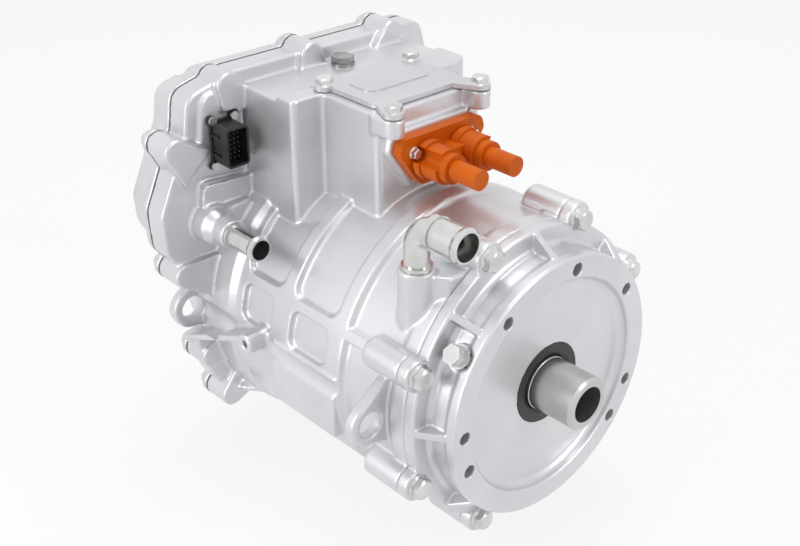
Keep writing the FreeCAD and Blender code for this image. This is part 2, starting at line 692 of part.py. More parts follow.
def housing_cavities():
    """Everything machined or cored out of the housing."""
    cuts = []
    cuts.append(cyl(BORE_R, BULKHEAD_X, SPLIT_X + 1))
    seat_back = REAR_BEARING_X - REAR_BEARING_B - SPRING_ROOM
    cuts.append(cyl(REAR_BEARING_R + FIT_GAP, seat_back, BULKHEAD_X + 1))
    cuts.append(cyl(REAR_BEARING_R - 5.0, REAR_SPLIT_X - 1, BULKHEAD_X + 1))
    rear_wall_x = BULKHEAD_X - BULKHEAD_T
    cuts.append(ring(DRUM_REAR_R - DRUM_REAR_WALL, REAR_HUB_R, REAR_SPLIT_X - PAST, rear_wall_x))
    cuts.append(cyl(REAR_HUB_R + FIT_GAP, REAR_SPLIT_X - PAST, RESOLVER_SEAT_X))
    room_near, room_far = BOX_REAR_NEAR_Y + BOX_WALL, BOX_REAR_FAR_Y - BOX_WALL
    rear_room = rectangle(room_near, room_far, BOX_FLOOR_Z, DECK_Z - BOX_WALL, ROOM_CORNER_R)
    cuts.append(prism_x(rear_room, REAR_SPLIT_X - PAST, BOX_DIVIDER_X))
    half = BOX_FRONT_HALF_Y - BOX_WALL
    front_room_x = BOX_DIVIDER_X + BOX_DIVIDER_T
    ceiling = FRONT_DECK_Z - BOX_WALL
    cuts.append(block(front_room_x, BOX_FRONT_X - BOX_WALL, -half, half, BOX_FLOOR_Z, ceiling))
    cuts.append(prism_z(lid_opening(), FRONT_DECK_Z - BOX_WALL - PAST, FRONT_DECK_Z + PAST))
    cuts.append(block(BOX_DIVIDER_X - 1, BOX_DIVIDER_X + 7, -30.0, 30.0, BOX_FLOOR_Z + 8.0, DECK_Z - 16.0))
    cuts.append(prism_x(hv_window(), BOX_FRONT_X - 10, BOX_FRONT_X + 10))
    cuts.append(prism_x(lv_window(0), REAR_SPLIT_X - 1, PAD_X + 1))
    wire_way = LV_WINDOW_HALF_Z - 3.0
    cuts.append(block(REAR_SPLIT_X - 1, REAR_SPLIT_X + 9.0, PAD_CENTRE_Y, BOX_REAR_NEAR_Y + BOX_WALL + 1,
                      PAD_CENTRE_Z - wire_way, PAD_CENTRE_Z + wire_way))
    thread_end = SHIELD_RIM_FRONT_X - SHIELD_BOLT_L - 2.0
    for spot in shield_bolt_spots():
        cuts.append(cyl(SHIELD_BOLT_R + THREAD_GAP, thread_end, SPLIT_X + PAST, spot))
    rear_thread_end = REAR_SPLIT_X + REAR_BOLT_L - REAR_COVER_WALL
    for spot in REAR_BOLT_PLACES:
        cuts.append(cyl(REAR_BOLT_R + THREAD_GAP, REAR_SPLIT_X - PAST, rear_thread_end, spot))
    for x, y in cover_bolt_spots():
        deep = COVER_BOLT_L - COVER_T + 2.0
        cuts.append(rod(COVER_BOLT_R + THREAD_GAP, V(x, y, FRONT_DECK_Z - deep), DIR_Z, deep + 1))
    lug_axis = (LUG_Y, LUG_Z)
    for x in (FRONT_LUG_X - LUG_T, REAR_LUG_X):
        cuts.append(cyl(LUG_HOLE_R, x - PAST, x + LUG_T + PAST, lug_axis))
    boss_reach = SIDE_BOSS_ROOT_R + PAST
    cuts.append(cyl(LUG_WAY_R, REAR_LUG_X + LUG_T, DRUM_REAR_X + DRUM_REAR_SLOPE, lug_axis))
    cuts.append(cyl(LUG_WAY_R, SIDE_BOSS_X + boss_reach, FRONT_LUG_X - LUG_T, lug_axis))
    boss_face = V(SIDE_BOSS_X, SIDE_BOSS_FACE_Y - PAST, SIDE_BOSS_Z)
    cuts.append(rod(SIDE_BOSS_HOLE_R, boss_face, DIR_Y, SIDE_BOSS_HOLE_L + PAST))
    seat_back = INLET_COLLAR_X - INLET_SEAT_L - 2.0
    cuts.append(cyl(INLET_TUBE_R + FIT_GAP, seat_back, INLET_COLLAR_X + PAST, (INLET_Y, INLET_Z)))
    outward = V(0, INLET_Y, INLET_Z).normalize()
    reach = math.hypot(INLET_Y, INLET_Z) - BORE_R + 2.0
    drill_x = INLET_COLLAR_X - 11.0
    cuts.append(rod(PORT_DRILL_R, V(drill_x, 0, 0) + outward * (BORE_R - 2.0), outward, reach))
    cuts.append(rod(OUTLET_LEG_R + FIT_GAP, V(OUTLET_X, OUTLET_Y, OUTLET_BOSS_Z - 14.0), DIR_Z, 20.0))
    cuts.append(rod(PORT_DRILL_R, V(OUTLET_X, OUTLET_Y, 55.0), DIR_Z, 50.0))
    for side in (-1, 1):
        cuts.append(cyl(HV_BOLT_R + THREAD_GAP, BOX_FRONT_X - 5, BOX_FRONT_X + HV_PAD_T + 1,
                        (HV_Y + side * HV_BOLT_HALF_Y, HV_Z + HV_BOLT_UP)))
    for spot in lv_screw_spots():
        cuts.append(cyl(LV_SCREW_R + THREAD_GAP, PAD_X - 9.0, PAD_X + 1, spot))
    for angle in DOWEL_ANGLES:
        spot = polar(DOWEL_CIRCLE_R, angle)
        cuts.append(cyl(DOWEL_R + FIT_GAP, SPLIT_X - DOWEL_DEPTH, SPLIT_X + PAST, spot))
    cuts.append(rod(PLUG_SHANK_R + THREAD_GAP, V(VENT_X, VENT_Y, DECK_Z - 10.0), DIR_Z, 12.0))
    cuts.append(deck_groove())
    half_y = LV_SCREW_HALF_Y + LV_SCREW_R + 2.8
    half_z = LV_SCREW_HALF_Z + LV_SCREW_R + 2.8
    cuts.append(prism_x(pad_rectangle(half_y, half_z, LV_CORNER_R), PAD_X, PAD_X + LV_L))
    return cuts


def lid_opening():
    half = LID_OPENING_HALF_Y
    return rectangle(LID_OPENING_REAR_X, LID_OPENING_FRONT_X, -half, half, LID_OPENING_CORNER_R)


def deck_groove():
    """Shallow groove across the near corner of the deck."""
    start = V(FRONT_DECK_X - 2.0, BOX_REAR_NEAR_Y + 8.0, 0)
    end = V(FRONT_DECK_X + 3.0, -COVER_HALF_Y + 3.0, 0)
    along = (end - start).normalize()
    side = V(-along.y, along.x, 0) * (DECK_GROOVE_W / 2)
    rise = V(0, 0, FRONT_DECK_Z + PAST)
    points = [p + rise for p in (start + side, end + side, end - side, start - side)]
    depth = FRONT_DECK_Z - DECK_Z + DECK_GROOVE_DEPTH + PAST
    return Part.Face(Part.makePolygon(points + points[:1])).extrude(V(0, 0, -depth))


def make_shield():
    """Front shield: flange disc with its dish, conical neck, bolting rim, webs and bearing hub."""
    dish_x = -DISH_DEPTH
    seal_back = dish_x - SEAL_T
    hub_r = FRONT_BEARING_R + HUB_WALL
    bearing_back = FRONT_BEARING_X - FRONT_BEARING_B
    spigot_r = BORE_R - FIT_GAP
    inner_r = BORE_R - SHIELD_WALL
    seat_r = FRONT_BEARING_R + FIT_GAP
    bend = math.sqrt(0.5) * DISH_FILLET_R
    floor_r = DISH_R - DISH_FILLET_R - DISH_DRAFT
    outline = [
        V(0, FLANGE_R - 1.0, 0), V(-1.0, FLANGE_R, 0), V(-FLANGE_T, FLANGE_R, 0),
        V(-FLANGE_T - 3.0, NECK_R, 0),
        V(SHIELD_RIM_FRONT_X + 3.0, NECK_R + 1.0, 0), V(SHIELD_RIM_FRONT_X, NECK_R + 4.0, 0),
        V(SHIELD_RIM_FRONT_X, SHIELD_RIM_R, 0),
        V(SPLIT_X, SHIELD_RIM_R, 0), V(SPLIT_X, spigot_r, 0), V(SPLIT_X - SPIGOT_L, spigot_r, 0),
        V(SPLIT_X - SPIGOT_L, inner_r, 0), V(SHIELD_RIM_FRONT_X - 2.0, inner_r, 0),
        V(SHIELD_RIM_FRONT_X + 4.0, NECK_R - NECK_WALL, 0), V(dish_x - 10.0, NECK_R - NECK_WALL, 0),
        V(dish_x - 10.0, hub_r + 1.0, 0), V(bearing_back - 6.0, hub_r - 2.0, 0),
        V(bearing_back - 6.0, seat_r, 0), V(FRONT_BEARING_X + FIT_GAP, seat_r, 0),
        V(FRONT_BEARING_X + FIT_GAP, SEAL_R - 3.0, 0), V(seal_back, SEAL_R - 3.0, 0),
        V(seal_back, SEAL_R + FIT_GAP, 0), V(dish_x, SEAL_R + FIT_GAP, 0), V(dish_x, floor_r, 0),
    ]
    edges = [Part.LineSegment(outline[i], outline[i + 1]).toShape() for i in range(len(outline) - 1)]
    centre = V(dish_x + DISH_FILLET_R, floor_r, 0)
    arc_mid = centre + V(-bend, bend, 0)
    arc_end = centre + V(0, DISH_FILLET_R, 0)
    rim_in = V(0, DISH_R, 0)
    edges.append(Part.Arc(outline[-1], arc_mid, arc_end).toShape())
    edges.append(Part.LineSegment(arc_end, rim_in).toShape())
    edges.append(Part.LineSegment(rim_in, outline[0]).toShape())
    body = spin(Part.Wire(edges))
    ears = [cyl(SHIELD_EAR_R, SPLIT_X, SHIELD_RIM_FRONT_X, spot) for spot in shield_bolt_spots()]
    webs = []
    for i in range(WEB_COUNT):
        back = SHIELD_RIM_FRONT_X - 1.0
        front = -FLANGE_T + 3.0
        low = NECK_R - 4.0
        side = -WEB_T / 2
        corners = [V(back, low, side), V(back, SHIELD_RIM_R - 1.0, side),
                   V(front, FLANGE_R - 1.0, side), V(front, low, side)]
        web = Part.Face(Part.makePolygon(corners + corners[:1])).extrude(V(0, 0, WEB_T))
        web.rotate(V(0, 0, 0), DIR_X, 360.0 / WEB_COUNT * i)
        webs.append(web)
    body = fuse(body, *ears, *webs)
    spots = shield_bolt_spots()
    hole_r = SHIELD_BOLT_R + SCREW_GAP
    cuts = [cyl(hole_r, SPLIT_X - PAST, SHIELD_RIM_FRONT_X + PAST, spot) for spot in spots]
    spot_faces = [cyl(SHIELD_BOLT_AF * 0.66, SHIELD_RIM_FRONT_X, -2.0, spot) for spot in spots]
    neck_keep = cyl(NECK_R - 2.0, SPLIT_X, 5)
    cuts += [face.cut(neck_keep) for face in spot_faces]
    holes = [(FLANGE_HOLE_R, a) for a in FLANGE_HOLE_MAIN_DEG]
    holes += [(FLANGE_SIDE_HOLE_R, side * a) for a in FLANGE_HOLE_SIDE_DEG for side in (-1, 1)]
    for radius, angle in holes:
        spot = polar(FLANGE_HOLE_CIRCLE_R, FLANGE_HOLE_AXIS_DEG + angle)
        cuts.append(cyl(radius, -FLANGE_HOLE_DEPTH, PAST, spot))
    outward = V(0, *polar(1, BREATHER_DEG))
    plug_base = V(BREATHER_X, 0, 0) + outward * (NECK_R - 14.0)
    cuts.append(rod(PLUG_SHANK_R + THREAD_GAP, plug_base, outward, 30.0))
    cuts.append(rod(BREATHER_R + 1.0, V(BREATHER_X, 0, 0) + outward * (NECK_R - 1.0), outward, 12.0))
    clip_x = bearing_back - FIT_GAP
    groove_outer = FRONT_BEARING_R + CIRCLIP_GROOVE + FIT_GAP
    cuts.append(ring(groove_outer, FRONT_BEARING_R - 1.0, clip_x - CIRCLIP_T - 0.1, clip_x + 0.02))
    for angle in DOWEL_ANGLES:
        spot = polar(DOWEL_CIRCLE_R, angle)
        cuts.append(cyl(DOWEL_R + FIT_GAP, SPLIT_X - 1, SPLIT_X + DOWEL_DEPTH * 0.6, spot))
    groove_r = BORE_R - FIT_GAP - RING_R * 1.4
    groove_x = SPLIT_X - SPIGOT_L + 3.0
    cuts.append(ring(BORE_R + PAST, groove_r, groove_x, groove_x + RING_R * 2.2))
    return body.cut(fuse(*cuts))


def make_rear_cover():
    """Rear cover: a drafted shell with the outline of the rear joint."""
    start = REAR_SPLIT_X - REAR_GASKET_T
    lip = rear_plate(start - REAR_LIP_T, start)
    crown = rear_shell(0, start, start - REAR_COVER_DEPTH)
    body = fuse(lip, crown)
    hollow = rear_shell(REAR_COVER_WALL, start + 1, start - REAR_COVER_DEPTH + REAR_COVER_WALL)
    body = body.cut(hollow)
    holes = [cyl(REAR_BOLT_R + SCREW_GAP, start - 20, start + 1, spot) for spot in REAR_BOLT_PLACES]
    seats = [cyl(REAR_BOLT_AF * 0.7, start - REAR_COVER_DEPTH, start - REAR_LIP_T, spot)
             for spot in REAR_BOLT_PLACES]
    return body.cut(fuse(*holes, *seats))


def rear_shell(wall, start, end):
    """Drafted volume inside the joint's outline, drawn in by wall."""
    depth = start - end
    shrink = REAR_COVER_DRAFT
    drum_r = REAR_CROWN_R - REAR_LIP_INSET - wall
    drum = Part.makeCone(drum_r, drum_r - shrink, depth, V(start, 0, 0), V(-1, 0, 0))
    near = scaled_outline(REAR_LIP_INSET + wall, start)
    far = scaled_outline(REAR_LIP_INSET + wall + shrink, end)
    top = Part.makeLoft([near, far], True, True)
    return drum.fuse(top)


def scaled_outline(inset, x):
    """Rear outline drawn in by inset, as a wire at station x."""
    corners = rear_outline()
    count = len(corners)
    moved = []
    for i in range(count):
        a, b, radius = corners[i]
        before = V(corners[i - 1][0], corners[i - 1][1], 0)
        after = V(corners[(i + 1) % count][0], corners[(i + 1) % count][1], 0)
        here = V(a, b, 0)
        side_in = (here - before).normalize()
        side_out = (after - here).normalize()
        normal_in = V(-side_in.y, side_in.x, 0)
        normal_out = V(-side_out.y, side_out.x, 0)
        across = (normal_in + normal_out).normalize()
        step = inset / across.dot(normal_in)
        point = here + across * step
        moved.append((point.x, point.y, radius))
    return rounded_wire(moved, lambda p, q: V(x, p, q))


def cover_plan():
    rear = COVER_BOLT_REAR_X - COVER_EAR_R
    return rectangle(rear, COVER_FRONT_X, -COVER_HALF_Y, COVER_HALF_Y, COVER_CORNER_R)


def cover_plate(z0, thickness):
    plate = prism_z(cover_plan(), z0, z0 + thickness)
    ears = []
    for x, y in cover_bolt_spots():
        ears.append(rod(COVER_EAR_R, V(x, y, z0), DIR_Z, thickness))
        inner_x = COVER_FRONT_X - 12.0 if x > COVER_FRONT_X else x
        inner_y = y * COVER_EAR_INWARD
        span = V(inner_x - x, inner_y - y, 0)
        side = V(-span.y, span.x, 0)
        if span.Length > 0:
            side.normalize()
            side = side * COVER_EAR_R
            base = V(x, y, z0)
            inner = V(inner_x, inner_y, z0)
            corners = [base + side, inner + side, inner - side, base - side, base + side]
            ears.append(Part.Face(Part.makePolygon(corners)).extrude(V(0, 0, thickness)))
    return fuse(plate, *ears)


def make_terminal_cover():
    base = FRONT_DECK_Z + COVER_GASKET_T
    plate = cover_plate(base, COVER_T)
    top = base + COVER_T
    half = COVER_PANEL_HALF_Y
    panel_rear = COVER_BOLT_REAR_X + COVER_EAR_R
    outline = rectangle(panel_rear, COVER_PANEL_FRONT_X, -half, half, COVER_CORNER_R * 0.8)
    panel = prism_z(outline, top, top + COVER_PANEL_H)
    body = fuse(plate, panel)
    for x, y in cover_bolt_spots():
        body = body.cut(rod(COVER_BOLT_R + 0.4, V(x, y, base - 1), DIR_Z, COVER_T + 4))
        body = body.cut(rod(COVER_BOLT_AF * 0.64, V(x, y, base + COVER_T), DIR_Z, 4.0))
    return body


def make_terminal_gasket():
    body = cover_plate(FRONT_DECK_Z, COVER_GASKET_T)
    body = body.cut(prism_z(lid_opening(), FRONT_DECK_Z - PAST, FRONT_DECK_Z + 3.0))
    for x, y in cover_bolt_spots():
        body = body.cut(rod(COVER_BOLT_R + 0.4, V(x, y, FRONT_DECK_Z - 1), DIR_Z, 4))
    return body


def make_rear_gasket():
    start = REAR_SPLIT_X - REAR_GASKET_T
    body = rear_plate(start, REAR_SPLIT_X)
    body = body.cut(rear_shell(REAR_COVER_WALL + 3.0, start + 5, start - 5))
    holes = [cyl(REAR_BOLT_R + SCREW_GAP, start - 1, start + 3, spot) for spot in REAR_BOLT_PLACES]
    return body.cut(fuse(*holes))


def shield_bolts():
    return [flange_bolt(V(SHIELD_RIM_FRONT_X, *spot), DIR_X, SHIELD_BOLT_R, SHIELD_BOLT_AF,
                        SHIELD_BOLT_HEAD_H, SHIELD_BOLT_L) for spot in shield_bolt_spots()]


def rear_cover_bolts():
    seat = REAR_SPLIT_X - REAR_GASKET_T - REAR_LIP_T
    sizes = (REAR_BOLT_R, REAR_BOLT_AF, REAR_BOLT_HEAD_H, REAR_BOLT_L)
    return [flange_bolt(V(seat, *spot), DIR_X * -1, *sizes) for spot in REAR_BOLT_PLACES]


def cover_bolts():
    seat = FRONT_DECK_Z + COVER_GASKET_T + COVER_T
    return [flange_bolt(V(x, y, seat), DIR_Z, COVER_BOLT_R, COVER_BOLT_AF, COVER_BOLT_HEAD_H, COVER_BOLT_L)
            for x, y in cover_bolt_spots()]


def make_shaft():
    shoulder_x = FRONT_BEARING_X - FRONT_BEARING_B - RUN_GAP
    rear_shoulder_x = REAR_BEARING_X + RUN_GAP
    plate_front = CORE_FRONT_X + END_PLATE_T
    plate_rear = CORE_FRONT_X - CORE_L - END_PLATE_T
    end_x = -DISH_DEPTH + PAST
    journal_end = REAR_BEARING_X - REAR_BEARING_B - 2.0
    profile = [
        (SHAFT_FRONT_X, SHAFT_BORE_R), (SHAFT_FRONT_X, SHAFT_END_R - SHAFT_CHAMFER),
        (SHAFT_FRONT_X - SHAFT_CHAMFER, SHAFT_END_R), (end_x, SHAFT_END_R), (end_x - SCREW_GAP, SHAFT_R),
        (shoulder_x, SHAFT_R), (shoulder_x, SHAFT_SHOULDER_R), (plate_front, SHAFT_SHOULDER_R),
        (plate_front, CORE_BORE_R - FIT_GAP), (plate_rear, CORE_BORE_R - FIT_GAP),
        (plate_rear, SHAFT_SHOULDER_R), (plate_rear - 4.0, SHAFT_SHOULDER_R),
        (plate_rear - 4.0, SHAFT_NECK_R),
        (rear_shoulder_x, SHAFT_NECK_R), (rear_shoulder_x, REAR_JOURNAL_R),
        (journal_end, REAR_JOURNAL_R), (journal_end, RESOLVER_SEAT_R),
        (SHAFT_REAR_X, RESOLVER_SEAT_R), (SHAFT_REAR_X, 0),
        (SHAFT_FRONT_X - SHAFT_BORE_DEPTH, 0), (SHAFT_FRONT_X - SHAFT_BORE_DEPTH, SHAFT_BORE_R),
    ]
    return spin(profile)


def make_circlip():
    """Retaining ring behind the front bearing, seated in a groove of the shield's hub."""
    back = FRONT_BEARING_X - FRONT_BEARING_B - FIT_GAP
    outer, inner = FRONT_BEARING_R + CIRCLIP_GROOVE, FRONT_BEARING_R - CIRCLIP_REACH
    ring_body = ring(outer, inner, back - CIRCLIP_T, back)
    half = CIRCLIP_OPENING / 2
    gap = block(back - CIRCLIP_T - PAST, back + PAST, -half, half, 0.0, FRONT_BEARING_R + HUB_WALL)
    return ring_body.cut(gap)


def make_preload_spring():
    """Waved ring that loads the rear bearing's outer race toward the front."""
    far = REAR_BEARING_X - REAR_BEARING_B - SPRING_ROOM
    outer = REAR_BEARING_R - SPRING_INSET
    return ring(outer, outer - SPRING_WIDTH, far, REAR_BEARING_X - REAR_BEARING_B)


def make_resolver_rotor():
    """Lobed sensor ring on the shaft's rear end."""
    x0, x1 = RESOLVER_X - RESOLVER_T / 2, RESOLVER_X + RESOLVER_T / 2
    body = cyl(RESOLVER_ROTOR_R, x0, x1)
    step = 360.0 / RESOLVER_LOBES
    lobes = [cyl(8.0, x0, x1, polar(RESOLVER_ROTOR_R - 5.5, step * i)) for i in range(RESOLVER_LOBES)]
    return fuse(body, *lobes).cut(cyl(RESOLVER_SEAT_R + FIT_GAP, x0 - 1, x1 + 1))


def make_resolver_stator():
    """Toothed sensor ring round the lobed one, carried by the housing's rear wall."""
    x0, x1 = RESOLVER_X - RESOLVER_T / 2 - 1.0, RESOLVER_X + RESOLVER_T / 2 + 1.0
    body = ring(RESOLVER_R, RESOLVER_R - RESOLVER_RING, x0, x1)
    teeth = []
    for i in range(RESOLVER_TEETH):
        tooth = block(x0, x1, RESOLVER_ROTOR_R + 3.5, RESOLVER_R - 2.0, -2.5, 2.5)
        tooth.rotate(V(0, 0, 0), DIR_X, 360.0 / RESOLVER_TEETH * i)
        teeth.append(tooth)
    feet = ring(RESOLVER_R, RESOLVER_R - RESOLVER_RING + PAST, x0, RESOLVER_SEAT_X)
    return fuse(body, feet, *teeth)


def dowel_pins():
    """Two pins that place the shield on the housing, between the bolts."""
    pins = []
    for angle in DOWEL_ANGLES:
        spot = polar(DOWEL_CIRCLE_R, angle)
        pins.append(cyl(DOWEL_R, SPLIT_X - DOWEL_DEPTH + 0.5, SPLIT_X + DOWEL_DEPTH * 0.5, spot))
    return pins


def make_power_module():
    """Power switches on a base plate, bolted down to the floor of the electronics room."""
    x0, x1 = REAR_SPLIT_X + 6.0, BOX_DIVIDER_X - 3.0
    y0, y1 = MODULE_SPAN_Y
    base_top = BOX_FLOOR_Z + MODULE_BASE_T
    top = BOX_FLOOR_Z + MODULE_T
    base = block(x0, x1, y0, y1, BOX_FLOOR_Z, base_top)
    body = block(x0 + 3.0, x1 - 3.0, y0 + 4.0, y1 - 4.0, base_top, top)
    pads = [block(x0 + 8.0, x0 + 20.0, y, y + MODULE_PAD_W, top, top + MODULE_PAD_H) for y in PHASE_Y]
    return fuse(base, body, *pads)


def make_capacitor():
    """Link capacitor beside the power module, with a rounded case."""
    x0, x1 = REAR_SPLIT_X + 8.0, BOX_DIVIDER_X - 3.0
    y0 = BOX_REAR_NEAR_Y + BOX_WALL + 2.0
    top = DECK_Z - BOX_WALL - CAPACITOR_HEADROOM
    return prism_x(rectangle(y0, CAPACITOR_Y, BOX_FLOOR_Z, top, ROOM_CORNER_R), x0, x1)


def make_control_board():
    """Board on four posts above the power module, with three chips."""
    x0, x1 = REAR_SPLIT_X + 6.0, BOX_DIVIDER_X - 3.0
    top = BOARD_Z + BOARD_T
    foot = BOX_FLOOR_Z + MODULE_T
    board = block(x0, x1, *BOARD_SPAN_Y, BOARD_Z, top)
    posts = []
    for x in (x0 + 5.0, x1 - 5.0):
        for y in (MODULE_SPAN_Y[0] + 4.0, MODULE_SPAN_Y[1] - 4.0):
            posts.append(rod(2.5, V(x, y, foot), DIR_Z, BOARD_Z - foot))
    chips = [block(x0 + 16.0, x0 + 34.0, y, y + 18.0, top, top + 2.4) for y in (-52.0, -8.0, 40.0)]
    return fuse(board, *posts, *chips)


def phase_busbars():
    """Three copper bars that stand on the power module's pads and run rearward out of the room."""
    bars = []
    x0 = REAR_SPLIT_X - PHASE_REACH
    z = BOX_FLOOR_Z + MODULE_T + MODULE_PAD_H
    inset = (MODULE_PAD_W - PHASE_BAR_W) / 2
    for y in PHASE_Y:
        y0 = y + inset
        flat = block(x0, REAR_SPLIT_X + 26.0, y0, y0 + PHASE_BAR_W, z, z + PHASE_BAR_T)
        drop = block(x0, x0 + PHASE_BAR_T, y0, y0 + PHASE_BAR_W, z - PHASE_DROP, z + PHASE_BAR_T)
        bars.append(fuse(flat, drop))
    return bars


def make_phase_block():
    """Insulating terminal block that carries the feet of the three bars on the housing's rear face."""
    foot = BOX_FLOOR_Z + MODULE_T + MODULE_PAD_H - PHASE_DROP
    x0 = REAR_SPLIT_X - PHASE_REACH + PHASE_BAR_T
    return block(x0, REAR_SPLIT_X, PHASE_Y[0] - 6.0, PHASE_Y[2] + 22.0, foot - 6.0, foot + 14.0)


def make_hv_seal():
    """Flat seal between the high-voltage connector and its cast pad."""
    face = BOX_FRONT_X + HV_PAD_T
    body = prism_x(hv_outline(-1.0), face, face + SEAT_GAP)
    body = body.cut(prism_x(hv_window(), face - 1, face + 1))
    for side in (-1, 1):
        spot = (HV_Y + side * HV_BOLT_HALF_Y, HV_Z + HV_BOLT_UP)
        body = body.cut(cyl(HV_BOLT_R + SCREW_GAP, face - PAST, face + PAST, spot))
    return body


def bearing(x, width, outer_r, inner_r, ball_r):
    """Deep-groove ball bearing whose front face is at x: outer race, inner race, balls and cage."""
    pitch_r = (outer_r + inner_r) / 2.0
    middle = x - width / 2.0
    groove = Part.makeTorus(pitch_r, ball_r + RUN_GAP, V(middle, 0, 0), DIR_X)
    outer = ring(outer_r, outer_r - RACE_LAND, x - width, x).cut(groove)
    inner = ring(inner_r + RACE_LAND, inner_r + FIT_GAP, x - width, x).cut(groove)
    balls, holes = [], []
    for i in range(BALL_COUNT):
        angle = 360.0 / BALL_COUNT * i
        outward = V(0, *polar(1, angle))
        balls.append(Part.makeSphere(ball_r, V(middle, *polar(pitch_r, angle))))
        base = V(middle, *polar(pitch_r - CAGE_T, angle))
        holes.append(rod(ball_r + RUN_GAP * 2, base, outward, CAGE_T * 2))
    half = ball_r + CAGE_EDGE
    cage = ring(pitch_r + CAGE_T / 2, pitch_r - CAGE_T / 2, middle - half, middle + half)
    cage = cage.cut(holes[0].multiFuse(holes[1:]))
    return outer, inner, balls, cage


def make_seal():
    """Shaft seal: steel-backed rubber ring with a lip that reaches the shaft."""
    front = -DISH_DEPTH
    profile = [
        (front, SEAL_R), (front, SHAFT_R + 4.0), (front - 1.5, SHAFT_R + 1.2),
        (front - 3.0, SHAFT_R + RUN_GAP),
        (front - 5.0, SHAFT_R + RUN_GAP), (front - 6.0, SHAFT_R + 2.0), (front - 3.5, SHAFT_R + 5.0),
        (front - 3.5, SEAL_R - 3.5), (front - SEAL_T, SEAL_R - 2.0), (front - SEAL_T, SEAL_R),
    ]
    return spin(profile)


def make_stator():
    core = ring(STATOR_R, STATOR_BORE_R, CORE_FRONT_X - CORE_L, CORE_FRONT_X)
    slots = []
    for i in range(SLOT_COUNT):
        slot = block(CORE_FRONT_X - CORE_L - 1, CORE_FRONT_X + 1,
                     STATOR_BORE_R - 2, STATOR_BORE_R + SLOT_DEPTH, -SLOT_W / 2, SLOT_W / 2)
        slot.rotate(V(0, 0, 0), DIR_X, 360.0 / SLOT_COUNT * i)
        slots.append(slot)
    return core.cut(slots[0].multiFuse(slots[1:]))


def make_winding():
    """Copper winding: one bar in each slot and a rounded head at each end."""
    gap = SEAT_GAP
    inner = STATOR_BORE_R + 2.0
    outer = STATOR_BORE_R + SLOT_DEPTH - gap
    heads = []
    for face, sign in ((CORE_FRONT_X, 1), (CORE_FRONT_X - CORE_L, -1)):
        near = face + sign * 2.0
        far = face + sign * WINDING_OVERHANG
        heads.append(spin([
            (near, inner), (near, outer), (far - sign * 5.0, outer + 2.0), (far, outer - 4.0),
            (far, inner + 4.0), (far - sign * 5.0, inner)]))
    bars = []
    for i in range(SLOT_COUNT):
        half = SLOT_W / 2 - gap
        bar = block(CORE_FRONT_X - CORE_L - 3.0, CORE_FRONT_X + 3.0, inner, outer, -half, half)
        bar.rotate(V(0, 0, 0), DIR_X, 360.0 / SLOT_COUNT * i)
        bars.append(bar)
    return fuse(heads[0], heads[1], *bars)


def magnet_block(gap, x0, x1):
    half = MAGNET_W / 2 + gap
    return block(x0, x1, MAGNET_R - MAGNET_T / 2 - gap, MAGNET_R + MAGNET_T / 2 + gap, -half, half)


def make_rotor_core():
    rear = CORE_FRONT_X - CORE_L
    core = ring(ROTOR_R, CORE_BORE_R, rear, CORE_FRONT_X)
    cuts = []
    for i in range(POLE_COUNT):
        angle = 360.0 / POLE_COUNT * i
        slot = magnet_block(FIT_GAP, rear - 1, CORE_FRONT_X + 1)
        slot.rotate(V(0, 0, 0), DIR_X, angle)
        cuts.append(slot)
        cuts.append(cyl(LIGHTENING_R, rear - PAST, CORE_FRONT_X + PAST, polar(LIGHTENING_CIRCLE_R, angle)))
    return core.cut(cuts[0].multiFuse(cuts[1:]))


def make_magnets():
    magnets = []
    for i in range(POLE_COUNT):
        magnet = magnet_block(0, CORE_FRONT_X - CORE_L + 0.5, CORE_FRONT_X - 0.5)
        magnet.rotate(V(0, 0, 0), DIR_X, 360.0 / POLE_COUNT * i)
        magnets.append(magnet)
    return magnets


def sleeve_ring_stations():
    return SLEEVE_FRONT_X - SLEEVE_RING_INSET, SLEEVE_REAR_X + SLEEVE_RING_INSET


def make_sleeve():
    """Cooling sleeve: annular water channels between lands, joined by a gap through each land."""
    outer = BORE_R - FIT_GAP
    body = ring(outer, STATOR_R + FIT_GAP, SLEEVE_REAR_X, SLEEVE_FRONT_X)
    length = SLEEVE_FRONT_X - SLEEVE_REAR_X - 2 * SLEEVE_END_LAND
    pitch = (length + CHANNEL_LAND) / CHANNEL_COUNT
    cuts = []
    for i in range(CHANNEL_COUNT):
        x1 = SLEEVE_FRONT_X - SLEEVE_END_LAND - i * pitch
        cuts.append(ring(outer + 2, outer - CHANNEL_DEPTH, x1 - pitch + CHANNEL_LAND, x1))
        if i:
            y = outer * (1 if i % 2 else -1)
            cuts.append(block(x1 - 1, x1 + CHANNEL_LAND + 1, y - 6, y + 6, -14.0, 14.0))
    for x in sleeve_ring_stations():
        cuts.append(ring(outer + 2, outer - RING_R * 1.5, x - RING_R * 1.2, x + RING_R * 1.2))
    keep = cyl(outer - CHANNEL_DEPTH, SLEEVE_REAR_X - 1, SLEEVE_FRONT_X + 1)
    ring_floor = cyl(outer - RING_R * 1.5, SLEEVE_REAR_X - PAST, SLEEVE_REAR_X + 12.0)
    tool = cuts[0].multiFuse(cuts[1:]).cut(keep.fuse(ring_floor))
    return body.cut(tool)


def o_ring(surface_r, x):
    """Ring squeezed just under the bore it seals, at station x."""
    outer = surface_r - 0.02
    thick = RING_R * 1.3
    return ring(outer, outer - thick, x - RING_R * 0.8, x + RING_R * 0.8)


def hv_window():
    return rectangle(HV_Y - 33.0, HV_Y + 33.0, HV_Z - 12.0, HV_Z + 12.0, 11.0)


